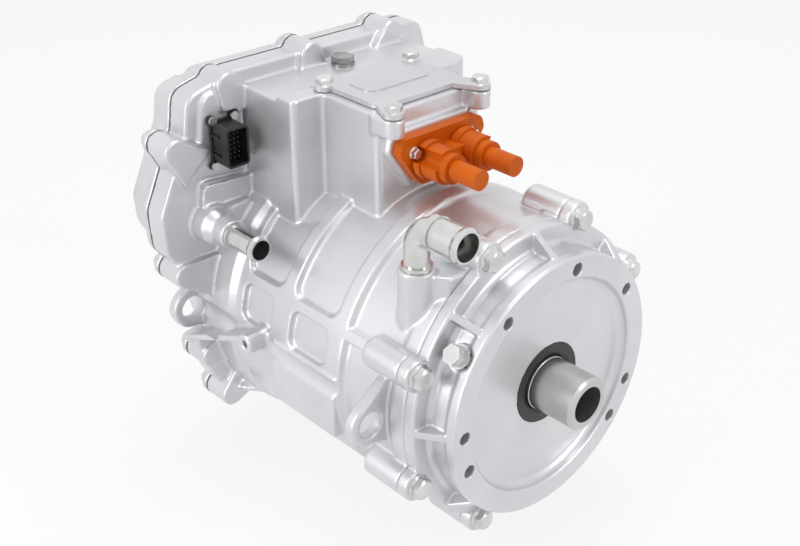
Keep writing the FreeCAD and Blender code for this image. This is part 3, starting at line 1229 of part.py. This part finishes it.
def hv_outline(grow):
    """Outline of the high-voltage connector's flange, in (y, z)."""
    return [
        (HV_Y - 42.0 - grow, HV_Z + 20.0 + grow, 8.0), (HV_Y - 46.0 - grow, HV_Z + 8.0, 6.0),
        (HV_Y - 24.0 - grow, HV_Z - 22.0 - grow, 8.0), (HV_Y + 24.0 + grow, HV_Z - 22.0 - grow, 8.0),
        (HV_Y + 46.0 + grow, HV_Z + 8.0, 6.0), (HV_Y + 42.0 + grow, HV_Z + 20.0 + grow, 8.0),
    ]


def make_hv_connector():
    face = BOX_FRONT_X + HV_PAD_T + SEAT_GAP
    plate = prism_x(hv_outline(0), face, face + HV_PLATE_T)
    parts = [plate]
    for side in (-1, 1):
        centre = (HV_Y + side * HV_POLE_HALF_Y, HV_Z)
        parts.append(cyl(HV_SOCKET_R, face, HV_SOCKET_X, centre))
        parts.append(cyl(HV_COLLAR_R, HV_SOCKET_X - 1, HV_COLLAR_X, centre))
        parts.append(cyl(HV_SOCKET_R - 4.0, face - HV_PLUG_L, face, centre))
        lip = cyl(HV_LIP_R, face + HV_PLATE_T + 3.0, face + HV_PLATE_T + 9.0, centre)
        parts.append(lip)
    bridge = block(face, HV_SOCKET_X - 9, HV_Y - HV_POLE_HALF_Y, HV_Y + HV_POLE_HALF_Y, HV_Z - 8, HV_Z + 8)
    body = fuse(bridge, *parts)
    cuts = []
    for side in (-1, 1):
        centre = (HV_Y + side * HV_POLE_HALF_Y, HV_Z)
        cuts.append(cyl(HV_CABLE_R + FIT_GAP, HV_COLLAR_X - HV_CABLE_DEPTH, HV_COLLAR_X + PAST, centre))
        y = centre[0]
        cuts.append(block(face - 15, face + 6, y - HV_BUSBAR_W / 2 - 0.1, y + HV_BUSBAR_W / 2 + 0.1,
                          HV_Z - HV_BUSBAR_T / 2 - 0.1, HV_Z + HV_BUSBAR_T / 2 + 0.1))
        bolt_spot = (HV_Y + side * HV_BOLT_HALF_Y, HV_Z + HV_BOLT_UP)
        cuts.append(cyl(HV_BOLT_R + 0.3, face - 1, face + HV_PLATE_T + 1, bolt_spot))
        cuts.append(cyl(HV_BOLT_ROOM_R, face + HV_PLATE_T, HV_SOCKET_X + 1, bolt_spot))
    return body.cut(fuse(*cuts))


def hv_cables():
    ends = []
    for side in (-1, 1):
        centre = (HV_Y + side * HV_POLE_HALF_Y, HV_Z)
        ends.append(cyl(HV_CABLE_R, HV_COLLAR_X - HV_CABLE_DEPTH + SCREW_GAP, HV_CABLE_X, centre))
    return ends


def hv_bolts():
    seat = BOX_FRONT_X + HV_PAD_T + SEAT_GAP + HV_PLATE_T
    bolts = []
    for side in (-1, 1):
        spot = (HV_Y + side * HV_BOLT_HALF_Y, HV_Z + HV_BOLT_UP)
        bolts.append(flange_bolt(V(seat, *spot), DIR_X, HV_BOLT_R, HV_BOLT_AF, HV_BOLT_HEAD_H, HV_BOLT_L))
    return bolts


def hv_busbars():
    bars = []
    face = BOX_FRONT_X + HV_PAD_T + SEAT_GAP
    for side in (-1, 1):
        y = HV_Y + side * HV_POLE_HALF_Y
        bars.append(block(BOX_DIVIDER_X + 12.0, face + 5.5, y - HV_BUSBAR_W / 2, y + HV_BUSBAR_W / 2,
                          HV_Z - HV_BUSBAR_T / 2, HV_Z + HV_BUSBAR_T / 2))
    return bars


def lv_screw_spots():
    sides = (-1, 1)
    return [(PAD_CENTRE_Y + a * LV_SCREW_HALF_Y, PAD_CENTRE_Z + b * LV_SCREW_HALF_Z)
            for a in sides for b in sides]


def pad_rectangle(half_y, half_z, radius):
    """Rounded rectangle about the control connector's centre."""
    y, z = PAD_CENTRE_Y, PAD_CENTRE_Z
    return rectangle(y - half_y, y + half_y, z - half_z, z + half_z, radius)


def lv_window(gap):
    """Opening behind the control connector, drawn in by gap for the plug that fills it."""
    return pad_rectangle(LV_WINDOW_HALF_Y - gap, LV_WINDOW_HALF_Z - gap, 3.0)


def make_lv_connector():
    """Open header with a rounded shroud, mounting flange and side rails."""
    y0, y1 = PAD_CENTRE_Y - LV_W / 2, PAD_CENTRE_Y + LV_W / 2
    z0, z1 = PAD_CENTRE_Z - LV_H / 2, PAD_CENTRE_Z + LV_H / 2
    face = PAD_X + SEAT_GAP
    ear_r = LV_SCREW_R + 1.8
    flange = prism_x(rectangle(y0 - 1, y1 + 1, z0 - 2, z1 + 2, 3.0), face, face + LV_FLANGE_T)
    ears = [cyl(ear_r, face, face + LV_FLANGE_T, spot) for spot in lv_screw_spots()]
    shroud = prism_x(rectangle(y0, y1, z0, z1, LV_CORNER_R), face, face + LV_L)
    plug = prism_x(lv_window(SEAT_GAP), face - 12.0, face)
    rails = []
    for place in LV_RAIL_PLACES:
        z = PAD_CENTRE_Z + place
        rails.append(block(face, face + LV_L * 0.6, y0 - LV_RAIL_H, y1 + LV_RAIL_H, z - 0.8, z + 0.8))
    body = fuse(flange, shroud, plug, *ears, *rails)
    mouth_r = LV_CORNER_R - LV_WALL
    hollow = prism_x(rectangle(y0 + LV_WALL, y1 - LV_WALL, z0 + LV_WALL, z1 - LV_WALL, mouth_r),
                     face + LV_FLOOR, face + LV_L + 1)
    cuts = [cyl(LV_SCREW_R + 0.3, face - 1, face + LV_FLANGE_T + 1, spot) for spot in lv_screw_spots()]
    seat = face + LV_FLANGE_T
    cuts += [cyl(LV_SCREW_R + 1.8, seat, seat + 4.0, spot) for spot in lv_screw_spots()]
    for y, z in lv_pin_spots():
        half = LV_PIN_W / 2 + FIT_GAP
        cuts.append(block(face - 13, face + LV_FLOOR + 1, y - half, y + half, z - half, z + half))
    return body.cut(fuse(hollow, *cuts))


def lv_pin_spots():
    spots = []
    for row in range(LV_PIN_ROWS):
        for column in range(LV_PIN_COLUMNS):
            y = PAD_CENTRE_Y + (row - (LV_PIN_ROWS - 1) / 2.0) * LV_PIN_PITCH
            z = PAD_CENTRE_Z + (column - (LV_PIN_COLUMNS - 1) / 2.0) * LV_PIN_PITCH
            spots.append((y, z))
    return spots


def lv_pins():
    half = LV_PIN_W / 2
    face = PAD_X + SEAT_GAP
    tip = face + LV_FLOOR + 12.0
    return [block(face - 14.0, tip, y - half, y + half, z - half, z + half) for y, z in lv_pin_spots()]


def lv_screws():
    seat = PAD_X + SEAT_GAP + LV_FLANGE_T
    head_r = LV_SCREW_R + 1.5
    screws = []
    for spot in lv_screw_spots():
        head = rod(head_r, V(seat, *spot), DIR_X, 2.2)
        screws.append(fuse(head, rod(LV_SCREW_R, V(seat - 10, *spot), DIR_X, 10.5)))
    return screws


def bead(tube_r, bead_r, x, centre):
    """Rolled bead round a hose tube near its end."""
    width = (bead_r - tube_r) * 2.2
    ramp = Part.makeCone(tube_r, bead_r, width, V(x - width, *centre), DIR_X)
    back = Part.makeCone(bead_r, tube_r, width * 0.7, V(x, *centre), DIR_X)
    return ramp.fuse(back)


def make_inlet():
    centre = (INLET_Y, INLET_Z)
    start = INLET_COLLAR_X - INLET_SEAT_L
    tube = cyl(INLET_TUBE_R, start, INLET_END_X, centre)
    stop = cyl(INLET_TUBE_R + 1.6, INLET_COLLAR_X + SEAT_GAP, INLET_COLLAR_X + 3.0, centre)
    body = fuse(tube, stop, bead(INLET_TUBE_R, INLET_BEAD_R, INLET_END_X - 3.4, centre))
    return body.cut(cyl(INLET_BORE_R, start - 1, INLET_END_X + 1, centre))


def bend_tube(tube_r, bend_r):
    """Leg, quarter bend and stub in one sweep, from inside the boss to the hose tube."""
    arc = bend_r * (1 - math.sqrt(0.5))
    foot = V(OUTLET_X, OUTLET_Y, OUTLET_BOSS_Z - OUTLET_SEAT_L)
    low = V(OUTLET_X, OUTLET_Y, OUTLET_Z - bend_r)
    middle = V(OUTLET_X + arc, OUTLET_Y, OUTLET_Z - arc)
    high = V(OUTLET_X + bend_r, OUTLET_Y, OUTLET_Z)
    stub = high + DIR_X * 12.0
    path = Part.Wire([Part.LineSegment(foot, low).toShape(), Part.Arc(low, middle, high).toShape(),
                      Part.LineSegment(high, stub).toShape()])
    circle = Part.Wire(Part.makeCircle(tube_r, foot, DIR_Z))
    return path.makePipeShell([circle], True, False)


def make_outlet():
    """Outlet elbow: a leg pressed into the boss, a bend and a wider hose tube with its bead."""
    radius = OUTLET_BEND_R
    centre = (OUTLET_Y, OUTLET_Z)
    outer = bend_tube(OUTLET_LEG_R, radius)
    hose_x = OUTLET_X + radius + 3.0
    hose = cyl(OUTLET_TUBE_R, hose_x, OUTLET_END_X, centre)
    collar = cyl(OUTLET_TUBE_R + 1.2, hose_x - 3.0, hose_x + 2.0, centre)
    seat = rod(OUTLET_LEG_R + 2.0, V(OUTLET_X, OUTLET_Y, OUTLET_BOSS_Z + SEAT_GAP), DIR_Z, 3.0)
    body = fuse(outer, hose, collar, seat, bead(OUTLET_TUBE_R, OUTLET_BEAD_R, OUTLET_END_X - 3.2, centre))
    inner = bend_tube(OUTLET_LEG_R - OUTLET_WALL, radius)
    bore = cyl(OUTLET_BORE_R, hose_x + 4.0, OUTLET_END_X + 1, centre)
    return body.cut(fuse(inner, bore))


def make_breather():
    """Breather plug: hexagonal cap over a slotted collar, screwed into the shield."""
    outward = V(0, *polar(1, BREATHER_DEG))
    base = V(BREATHER_X, 0, 0) + outward * (NECK_R - 1.0 + SEAT_GAP)
    collar = rod(BREATHER_R, base, outward, BREATHER_COLLAR_H)
    head = hexagon(BREATHER_AF, base + outward * BREATHER_COLLAR_H, outward, BREATHER_HEAD_H)
    shank = rod(PLUG_SHANK_R, base - outward * 11.0, outward, 12.0)
    body = fuse(collar, head, shank)
    slots = []
    for i in range(BREATHER_SLOTS):
        slot = block(-1.0, 1.0, BREATHER_R - 3.0, BREATHER_R + 1.0, 1.5, 4.2)
        slot.rotate(V(0, 0, 0), DIR_Z, 360.0 / BREATHER_SLOTS * i)
        slot.Placement = FreeCAD.Placement(base, FreeCAD.Rotation(DIR_Z, outward)).multiply(slot.Placement)
        slots.append(slot)
    return body.cut(fuse(*slots))


def make_vent():
    base = V(VENT_X, VENT_Y, DECK_Z + SEAT_GAP)
    collar = rod(VENT_AF * 0.6, base, DIR_Z, VENT_COLLAR_H)
    head = hexagon(VENT_AF, base + DIR_Z * VENT_COLLAR_H, DIR_Z, VENT_H - VENT_COLLAR_H)
    shank = rod(PLUG_SHANK_R, base - DIR_Z * 7.0, DIR_Z, 7.5)
    return fuse(collar, head, shank)


def export(name, shape):
    if isinstance(shape, (list, tuple)):
        shape = Part.makeCompound(list(shape))
    shape.exportStep("parts/" + name + ".step")


def main():
    os.makedirs("parts", exist_ok=True)
    export("motor_housing", make_housing())
    export("front_shield", make_shield())
    export("rear_cover", make_rear_cover())
    export("rear_cover_gasket", make_rear_gasket())
    export("terminal_cover", make_terminal_cover())
    export("terminal_cover_gasket", make_terminal_gasket())
    export("shield_bolts", shield_bolts())
    export("rear_cover_bolts", rear_cover_bolts())
    export("terminal_cover_bolts", cover_bolts())
    export("cooling_sleeve", make_sleeve())
    export("sleeve_o_rings", [o_ring(BORE_R, x) for x in sleeve_ring_stations()])
    export("shield_o_ring", o_ring(BORE_R, SPLIT_X - SPIGOT_L + 3.0 + RING_R * 1.1))
    export("stator_core", make_stator())
    export("stator_winding", make_winding())
    export("rotor_shaft", make_shaft())
    export("rotor_core", make_rotor_core())
    export("rotor_magnets", make_magnets())
    core_rear_x = CORE_FRONT_X - CORE_L
    plates = ((CORE_FRONT_X + 0.1, "front_end_plate"), (core_rear_x - END_PLATE_T, "rear_end_plate"))
    for x, name in plates:
        export(name, ring(ROTOR_R - 2.0, CORE_BORE_R, x, x + END_PLATE_T - 0.1))
    sets = (
        ("front_bearing", FRONT_BEARING_X, FRONT_BEARING_B, FRONT_BEARING_R, SHAFT_R, FRONT_BALL_R),
        ("rear_bearing", REAR_BEARING_X, REAR_BEARING_B, REAR_BEARING_R, REAR_JOURNAL_R, REAR_BALL_R),
    )
    for name, x, width, outer_r, inner_r, ball_r in sets:
        outer, inner, balls, cage = bearing(x, width, outer_r, inner_r, ball_r)
        export(name + "_outer_race", outer)
        export(name + "_inner_race", inner)
        export(name + "_balls", balls)
        export(name + "_cage", cage)
    export("bearing_circlip", make_circlip())
    export("bearing_preload_spring", make_preload_spring())
    export("resolver_rotor", make_resolver_rotor())
    export("resolver_stator", make_resolver_stator())
    export("dowel_pins", dowel_pins())
    export("power_module", make_power_module())
    export("link_capacitor", make_capacitor())
    export("control_board", make_control_board())
    export("phase_busbars", phase_busbars())
    export("phase_terminal_block", make_phase_block())
    export("shaft_seal", make_seal())
    export("hv_connector_seal", make_hv_seal())
    export("hv_connector", make_hv_connector())
    export("hv_cable_ends", hv_cables())
    export("hv_connector_bolts", hv_bolts())
    export("hv_busbars", hv_busbars())
    export("lv_connector", make_lv_connector())
    export("lv_connector_pins", lv_pins())
    export("lv_connector_screws", lv_screws())
    export("coolant_inlet_tube", make_inlet())
    export("coolant_outlet_elbow", make_outlet())
    export("breather_plug", make_breather())
    export("deck_vent_plug", make_vent())


main()
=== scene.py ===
import json
import math

import bmesh
import bpy
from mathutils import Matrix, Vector


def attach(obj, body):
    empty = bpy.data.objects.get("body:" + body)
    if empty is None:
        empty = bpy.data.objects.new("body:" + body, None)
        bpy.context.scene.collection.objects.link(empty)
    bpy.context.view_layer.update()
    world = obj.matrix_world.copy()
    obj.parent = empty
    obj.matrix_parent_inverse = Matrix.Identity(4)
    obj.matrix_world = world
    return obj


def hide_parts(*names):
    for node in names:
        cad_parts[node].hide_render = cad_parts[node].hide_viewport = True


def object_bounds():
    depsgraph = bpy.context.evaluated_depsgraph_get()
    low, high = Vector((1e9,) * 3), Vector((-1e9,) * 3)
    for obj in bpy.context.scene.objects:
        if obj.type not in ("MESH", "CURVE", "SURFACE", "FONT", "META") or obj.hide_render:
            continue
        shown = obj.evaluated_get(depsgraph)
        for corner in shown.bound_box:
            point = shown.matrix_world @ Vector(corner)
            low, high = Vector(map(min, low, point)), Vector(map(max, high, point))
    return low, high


# Electric drive unit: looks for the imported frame. Everything is in metres, in the frame's own axes.
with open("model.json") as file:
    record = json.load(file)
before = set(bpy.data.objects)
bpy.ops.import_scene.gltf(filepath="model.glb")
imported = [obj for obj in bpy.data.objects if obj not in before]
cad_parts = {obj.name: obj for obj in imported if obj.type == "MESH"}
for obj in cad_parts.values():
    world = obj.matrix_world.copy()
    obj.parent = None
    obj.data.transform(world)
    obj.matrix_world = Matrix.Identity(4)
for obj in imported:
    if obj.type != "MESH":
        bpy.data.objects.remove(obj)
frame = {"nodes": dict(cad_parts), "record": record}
nodes = frame["nodes"]
slots = {part["node"]: part["material_slot"] for part in frame["record"]["subparts"]}
cad_low, cad_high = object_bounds()

CAMERA_PLACE = (0.4916, -0.6155, 0.5301)
CAMERA_AZIMUTH = 47.40
CAMERA_ELEVATION = 28.87
CAMERA_LENS_MM = 54.3
CAMERA_NEAREST = 0.01
SENSOR_MM = 36.0

# Lamps: name, place, width, height, watts. All point at LAMP_AIM.
LAMP_AIM = (-0.15, 0.0, 0.05)
LAMPS = (
    ("left_box", (-0.5, -1.7, 0.6), 0.7, 1.6, 13.0),
    ("right_box", (1.6, 0.5, 0.7), 0.6, 1.4, 9.0),
    ("top_box", (-0.3, 0.2, 1.9), 0.9, 1.4, 11.0),
)

# The studio's light, darker near the ground, and the white that the camera and bright surfaces see
WHITE = (1.0, 1.0, 1.0, 1.0)
STUDIO_LOW = (0.20, 0.20, 0.21)
STUDIO_HIGH = (0.86, 0.87, 0.89)
STUDIO_LOW_AT = 0.05
STUDIO_HIGH_AT = 0.85
STUDIO_STRENGTH = 0.75

FLOOR_DROP = 0.004
FLOOR_SIZE = 6.0
FLOOR_MATTE = (0.9, 0.9, 0.9, 1.0)
FLOOR_GLOW_SHARE = 0.82

# Castings with softened edges: node, voxel size, rounds of smoothing, triangles kept
CASTING_BODY = "housing"
CASTINGS = (
    ("motor_housing", 0.0012, 8, 180000),
    ("front_shield", 0.0009, 5, 150000),
    ("rear_cover", 0.0015, 8, 90000),
)
SMOOTHING = 0.5

# Rear cover's bolt seats beside its hollow: y, z, and the first and last angle of the wall between
SEAT_WALLS = (
    (-0.098, 0.197, -139.0, -12.0),
    (-0.012, 0.203, -123.0, -57.0),
    (0.078, 0.203, -123.0, -57.0),
    (0.136, 0.092, 148.0, 212.0),
)
SEAT_R = 0.0091
SEAT_WALL = 0.0035
SEAT_FAR_X = -0.3405
SEAT_NEAR_X = -0.3080
SEAT_WALL_STEPS = 12

# Grain in relief on every finish
GRAIN_STRENGTH = 0.25


def principled(name):
    """New material with a Principled shader; returns the material, its node tree and the shader."""
    material = bpy.data.materials.new(name)
    material.use_nodes = True
    tree = material.node_tree
    shader = tree.nodes["Principled BSDF"]
    return material, tree, shader


def object_noise(tree, scale, detail, roughness):
    """Noise in the object's own metres."""
    place = tree.nodes.new("ShaderNodeTexCoord")
    noise = tree.nodes.new("ShaderNodeTexNoise")
    noise.inputs["Scale"].default_value = scale
    noise.inputs["Detail"].default_value = detail
    noise.inputs["Roughness"].default_value = roughness
    tree.links.new(place.outputs["Object"], noise.inputs["Vector"])
    return noise.outputs["Fac"]


def ramp(tree, source, low, high, low_at=0.35, high_at=0.65):
    """Colour from low to high as source goes from low_at to high_at."""
    node = tree.nodes.new("ShaderNodeValToRGB")
    node.color_ramp.elements[0].position = low_at
    node.color_ramp.elements[1].position = high_at
    node.color_ramp.elements[0].color = (*low, 1.0)
    node.color_ramp.elements[1].color = (*high, 1.0)
    tree.links.new(source, node.inputs["Fac"])
    return node.outputs["Color"]


def spread(tree, source, low, high):
    """Maps a 0 to 1 value to low..high."""
    node = tree.nodes.new("ShaderNodeMapRange")
    node.inputs["To Min"].default_value = low
    node.inputs["To Max"].default_value = high
    tree.links.new(source, node.inputs["Value"])
    return node.outputs["Result"]


def bump(tree, shader, source, distance):
    """Relief of the given height from source."""
    node = tree.nodes.new("ShaderNodeBump")
    node.inputs["Strength"].default_value = GRAIN_STRENGTH
    node.inputs["Distance"].default_value = distance
    tree.links.new(source, node.inputs["Height"])
    tree.links.new(node.outputs["Normal"], shader.inputs["Normal"])


def finish_material(name, low, high, rough, metallic, grain, depth, blotch=14.0, shine=0.5):
    """Procedural finish: blotchy colour between low and high, varied roughness, grain in relief."""
    material, tree, shader = principled(name)
    shade = object_noise(tree, blotch, 4.0, 0.55)
    tree.links.new(ramp(tree, shade, low, high), shader.inputs["Base Color"])
    fine = object_noise(tree, grain, 5.0, 0.6)
    tree.links.new(spread(tree, fine, *rough), shader.inputs["Roughness"])
    bump(tree, shader, fine, depth)
    shader.inputs["Metallic"].default_value = metallic
    shader.inputs["Specular IOR Level"].default_value = shine
    return material


ALLOY_ROUGH = (0.29, 0.39)

MATERIALS = {
    "housing_casting": finish_material(
        "cast_alloy", (0.64, 0.64, 0.665), (0.71, 0.71, 0.73), ALLOY_ROUGH, 0.62, 900.0, 0.00002),
    "shield_casting": finish_material(
        "machined_casting", (0.67, 0.67, 0.695), (0.73, 0.73, 0.75), (0.27, 0.36), 0.62, 700.0, 0.00002),
    "rear_cover_casting": finish_material(
        "cover_casting", (0.62, 0.62, 0.645), (0.69, 0.69, 0.71), ALLOY_ROUGH, 0.62, 900.0, 0.00002),
    "cover_plate": finish_material(
        "lid_casting", (0.60, 0.60, 0.625), (0.66, 0.66, 0.68), (0.28, 0.38), 0.62, 800.0, 0.00002),
    "sleeve_aluminium": finish_material(
        "turned_alloy", (0.66, 0.66, 0.68), (0.72, 0.72, 0.74), (0.25, 0.35), 0.9, 500.0, 0.00002),
    "gasket_rubber": finish_material(
        "gasket", (0.20, 0.20, 0.20), (0.27, 0.27, 0.27), (0.6, 0.8), 0.0, 600.0, 0.00005),
    "seal_rubber": finish_material(
        "ring_rubber", (0.02, 0.02, 0.02), (0.05, 0.05, 0.05), (0.5, 0.7), 0.0, 600.0, 0.00004),
    "shaft_seal_rubber": finish_material(
        "seal_lip", (0.010, 0.010, 0.010), (0.024, 0.024, 0.024), (0.35, 0.5), 0.0, 600.0, 0.00004),
    "bolt_steel": finish_material(
        "plated_bolt", (0.60, 0.60, 0.59), (0.74, 0.74, 0.73), (0.16, 0.30), 0.92, 1200.0,
        0.00002, 60.0),
    "shaft_steel": finish_material(
        "ground_steel", (0.50, 0.50, 0.495), (0.60, 0.60, 0.59), (0.26, 0.38), 0.95, 900.0,
        0.00002, 30.0),
    "bearing_steel": finish_material(
        "bearing_race", (0.55, 0.55, 0.55), (0.65, 0.65, 0.65), (0.15, 0.25), 1.0, 900.0, 0.00001),
    "lamination_steel": finish_material(
        "laminations", (0.30, 0.30, 0.31), (0.38, 0.38, 0.39), (0.35, 0.5), 0.8, 900.0, 0.00003),
    "copper": finish_material(
        "copper_wire", (0.62, 0.30, 0.17), (0.76, 0.42, 0.25), (0.25, 0.4), 0.9, 900.0, 0.00003),
    "magnet": finish_material(
        "magnet_coat", (0.22, 0.22, 0.24), (0.30, 0.30, 0.32), (0.3, 0.45), 0.6, 900.0, 0.00003),
    "cage_plastic": finish_material(
        "cage", (0.05, 0.045, 0.04), (0.10, 0.09, 0.08), (0.4, 0.6), 0.0, 900.0, 0.00003),
    "module_plastic": finish_material(
        "module", (0.06, 0.06, 0.065), (0.11, 0.11, 0.12), (0.45, 0.6), 0.0, 900.0, 0.00003),
    "board": finish_material(
        "circuit_board", (0.02, 0.14, 0.06), (0.04, 0.22, 0.09), (0.3, 0.4), 0.0, 900.0, 0.00002),
    "hv_connector_plastic": finish_material(
        "orange_plastic", (0.58, 0.098, 0.001), (0.68, 0.125, 0.001), (0.36, 0.48), 0.0, 1100.0,
        0.00005, 40.0, shine=0.22),
    "hv_cable_sheath": finish_material(
        "orange_sheath", (0.62, 0.105, 0.001), (0.70, 0.132, 0.001), (0.42, 0.54), 0.0, 1100.0,
        0.00005, 40.0, shine=0.22),
    "lv_connector_plastic": finish_material(
        "black_plastic", (0.008, 0.008, 0.009), (0.018, 0.018, 0.020), (0.40, 0.52), 0.0, 1100.0,
        0.00004, 60.0),
    "pin_brass": finish_material(
        "plated_pin", (0.10, 0.095, 0.08), (0.16, 0.15, 0.13), (0.3, 0.4), 0.6, 1100.0, 0.00002),
    "port_metal": finish_material(
        "port_tube", (0.58, 0.58, 0.565), (0.70, 0.70, 0.69), (0.14, 0.26), 0.95, 700.0,
        0.00002, 40.0),
    "breather_metal": finish_material(
        "breather", (0.60, 0.60, 0.60), (0.70, 0.70, 0.70), (0.22, 0.32), 0.85, 900.0,
        0.00002, 40.0),
    "vent_plug_metal": finish_material(
        "vent_plug", (0.26, 0.26, 0.25), (0.38, 0.38, 0.37), (0.2, 0.3), 0.9, 900.0,
        0.00002, 40.0),
}


def dress_nodes():
    """Gives every node the material of its slot."""
    for name, node in nodes.items():
        node.data.materials.clear()
        node.data.materials.append(MATERIALS[slots[name]])


def add_seat_walls(mesh):
    """Closed curved walls between the rear cover's hollow and the bolt seats beside it."""
    outer = SEAT_R + SEAT_WALL
    corners = (
        (SEAT_R, SEAT_FAR_X), (SEAT_R, SEAT_NEAR_X), (outer, SEAT_NEAR_X), (outer, SEAT_FAR_X))
    build = bmesh.new()
    for y, z, first, last in SEAT_WALLS:
        rows = []
        for step in range(SEAT_WALL_STEPS + 1):
            angle = math.radians(first + (last - first) * step / SEAT_WALL_STEPS)
            across, up = math.cos(angle), math.sin(angle)
            rows.append([build.verts.new((x, y + r * across, z + r * up)) for r, x in corners])
        for here, there in zip(rows, rows[1:]):
            for side in range(len(corners)):
                after = (side + 1) % len(corners)
                build.faces.new((here[side], here[after], there[after], there[side]))
        build.faces.new(rows[0])
        build.faces.new(rows[-1])
    bmesh.ops.recalc_face_normals(build, faces=build.faces)
    build.from_mesh(mesh)
    build.to_mesh(mesh)
    build.free()


def applied(piece):
    """Turns a piece's modifiers into its mesh."""
    graph = bpy.context.evaluated_depsgraph_get()
    made = bpy.data.meshes.new_from_object(piece.evaluated_get(graph), depsgraph=graph)
    piece.modifiers.clear()
    piece.data = made


def soften(node, voxel, rounds, faces):
    """A casting's mesh with its edges rounded: fine voxels, smoothed, then thinned where it is flat."""
    piece = bpy.data.objects.new(node + "_cast", nodes[node].data.copy())
    if node == "rear_cover":
        add_seat_walls(piece.data)
    bpy.context.scene.collection.objects.link(piece)
    remesh = piece.modifiers.new("voxels", "REMESH")
    remesh.mode = "VOXEL"
    remesh.voxel_size = voxel
    remesh.use_smooth_shade = True
    smooth = piece.modifiers.new("rounding", "SMOOTH")
    smooth.factor = SMOOTHING
    smooth.iterations = rounds
    applied(piece)
    triangles = len(piece.data.polygons) * 2
    thin = piece.modifiers.new("thinning", "DECIMATE")
    thin.ratio = min(1.0, faces / triangles)
    normals = piece.modifiers.new("normals", "WEIGHTED_NORMAL")
    normals.keep_sharp = True
    applied(piece)
    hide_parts(node)
    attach(piece, CASTING_BODY)


def make_camera():
    """The photo's viewpoint, with the whole part in the frame."""
    data = bpy.data.cameras.new("camera")
    data.lens = CAMERA_LENS_MM
    data.sensor_width = SENSOR_MM
    data.clip_start = CAMERA_NEAREST
    camera = bpy.data.objects.new("camera", data)
    azimuth, elevation = math.radians(CAMERA_AZIMUTH), math.radians(CAMERA_ELEVATION)
    level = math.cos(elevation)
    ahead = Vector((-math.sin(azimuth) * level, math.cos(azimuth) * level, -math.sin(elevation)))
    camera.location = CAMERA_PLACE
    camera.rotation_mode = "QUATERNION"
    camera.rotation_quaternion = ahead.to_track_quat("-Z", "Y")
    bpy.context.scene.collection.objects.link(camera)
    bpy.context.scene.camera = camera


def make_lights():
    for name, place, width, height, watts in LAMPS:
        data = bpy.data.lights.new(name, "AREA")
        data.energy = watts
        data.shape = "RECTANGLE"
        data.size = width
        data.size_y = height
        lamp = bpy.data.objects.new(name, data)
        lamp.location = place
        lamp.rotation_mode = "QUATERNION"
        lamp.rotation_quaternion = (Vector(LAMP_AIM) - Vector(place)).to_track_quat("-Z", "Y")
        bpy.context.scene.collection.objects.link(lamp)


def seen_or_mirrored(tree):
    """1 for rays from the camera, from a mirror-like surface or through glass, and 0 for the rest."""
    path = tree.nodes.new("ShaderNodeLightPath")
    total = path.outputs["Is Camera Ray"]
    for kind in ("Is Glossy Ray", "Is Transmission Ray"):
        add = tree.nodes.new("ShaderNodeMath")
        add.operation = "ADD"
        add.use_clamp = True
        tree.links.new(total, add.inputs[0])
        tree.links.new(path.outputs[kind], add.inputs[1])
        total = add.outputs["Value"]
    return total


def make_world():
    """Soft studio light all round, and plain white where the camera or a bright surface sees it."""
    world = bpy.data.worlds.new("studio")
    world.use_nodes = True
    tree = world.node_tree
    tree.nodes.clear()
    out = tree.nodes.new("ShaderNodeOutputWorld")
    place = tree.nodes.new("ShaderNodeTexCoord")
    split = tree.nodes.new("ShaderNodeSeparateXYZ")
    tree.links.new(place.outputs["Generated"], split.inputs["Vector"])
    sky = ramp(tree, split.outputs["Z"], STUDIO_LOW, STUDIO_HIGH, STUDIO_LOW_AT, STUDIO_HIGH_AT)
    soft = tree.nodes.new("ShaderNodeBackground")
    soft.inputs["Strength"].default_value = STUDIO_STRENGTH
    tree.links.new(sky, soft.inputs["Color"])
    white = tree.nodes.new("ShaderNodeBackground")
    white.inputs["Color"].default_value = WHITE
    mix = tree.nodes.new("ShaderNodeMixShader")
    tree.links.new(seen_or_mirrored(tree), mix.inputs["Fac"])
    tree.links.new(soft.outputs["Background"], mix.inputs[1])
    tree.links.new(white.outputs["Background"], mix.inputs[2])
    tree.links.new(mix.outputs["Shader"], out.inputs["Surface"])
    bpy.context.scene.world = world


def make_floor():
    """Pale floor just under the part, which keeps the part's shadow."""
    half = FLOOR_SIZE / 2.0
    z = cad_low.z - FLOOR_DROP
    mesh = bpy.data.meshes.new("floor")
    corners = [(-half, -half, z), (half, -half, z), (half, half, z), (-half, half, z)]
    mesh.from_pydata(corners, [], [(0, 1, 2, 3)])
    floor = bpy.data.objects.new("floor", mesh)
    bpy.context.scene.collection.objects.link(floor)
    material = bpy.data.materials.new("pale_floor")
    material.use_nodes = True
    tree = material.node_tree
    tree.nodes.clear()
    out = tree.nodes.new("ShaderNodeOutputMaterial")
    matte = tree.nodes.new("ShaderNodeBsdfDiffuse")
    matte.inputs["Color"].default_value = FLOOR_MATTE
    glow = tree.nodes.new("ShaderNodeEmission")
    glow.inputs["Color"].default_value = WHITE
    share = tree.nodes.new("ShaderNodeMath")
    share.operation = "MULTIPLY"
    share.inputs[1].default_value = FLOOR_GLOW_SHARE
    tree.links.new(seen_or_mirrored(tree), share.inputs[0])
    mix = tree.nodes.new("ShaderNodeMixShader")
    tree.links.new(share.outputs["Value"], mix.inputs["Fac"])
    tree.links.new(matte.outputs["BSDF"], mix.inputs[1])
    tree.links.new(glow.outputs["Emission"], mix.inputs[2])
    tree.links.new(mix.outputs["Shader"], out.inputs["Surface"])
    floor.data.materials.append(material)


def set_view():
    bpy.context.scene.view_settings.view_transform = "Standard"


make_camera()
make_world()
make_lights()
make_floor()
set_view()
dress_nodes()
for casting in CASTINGS:
    soften(*casting)
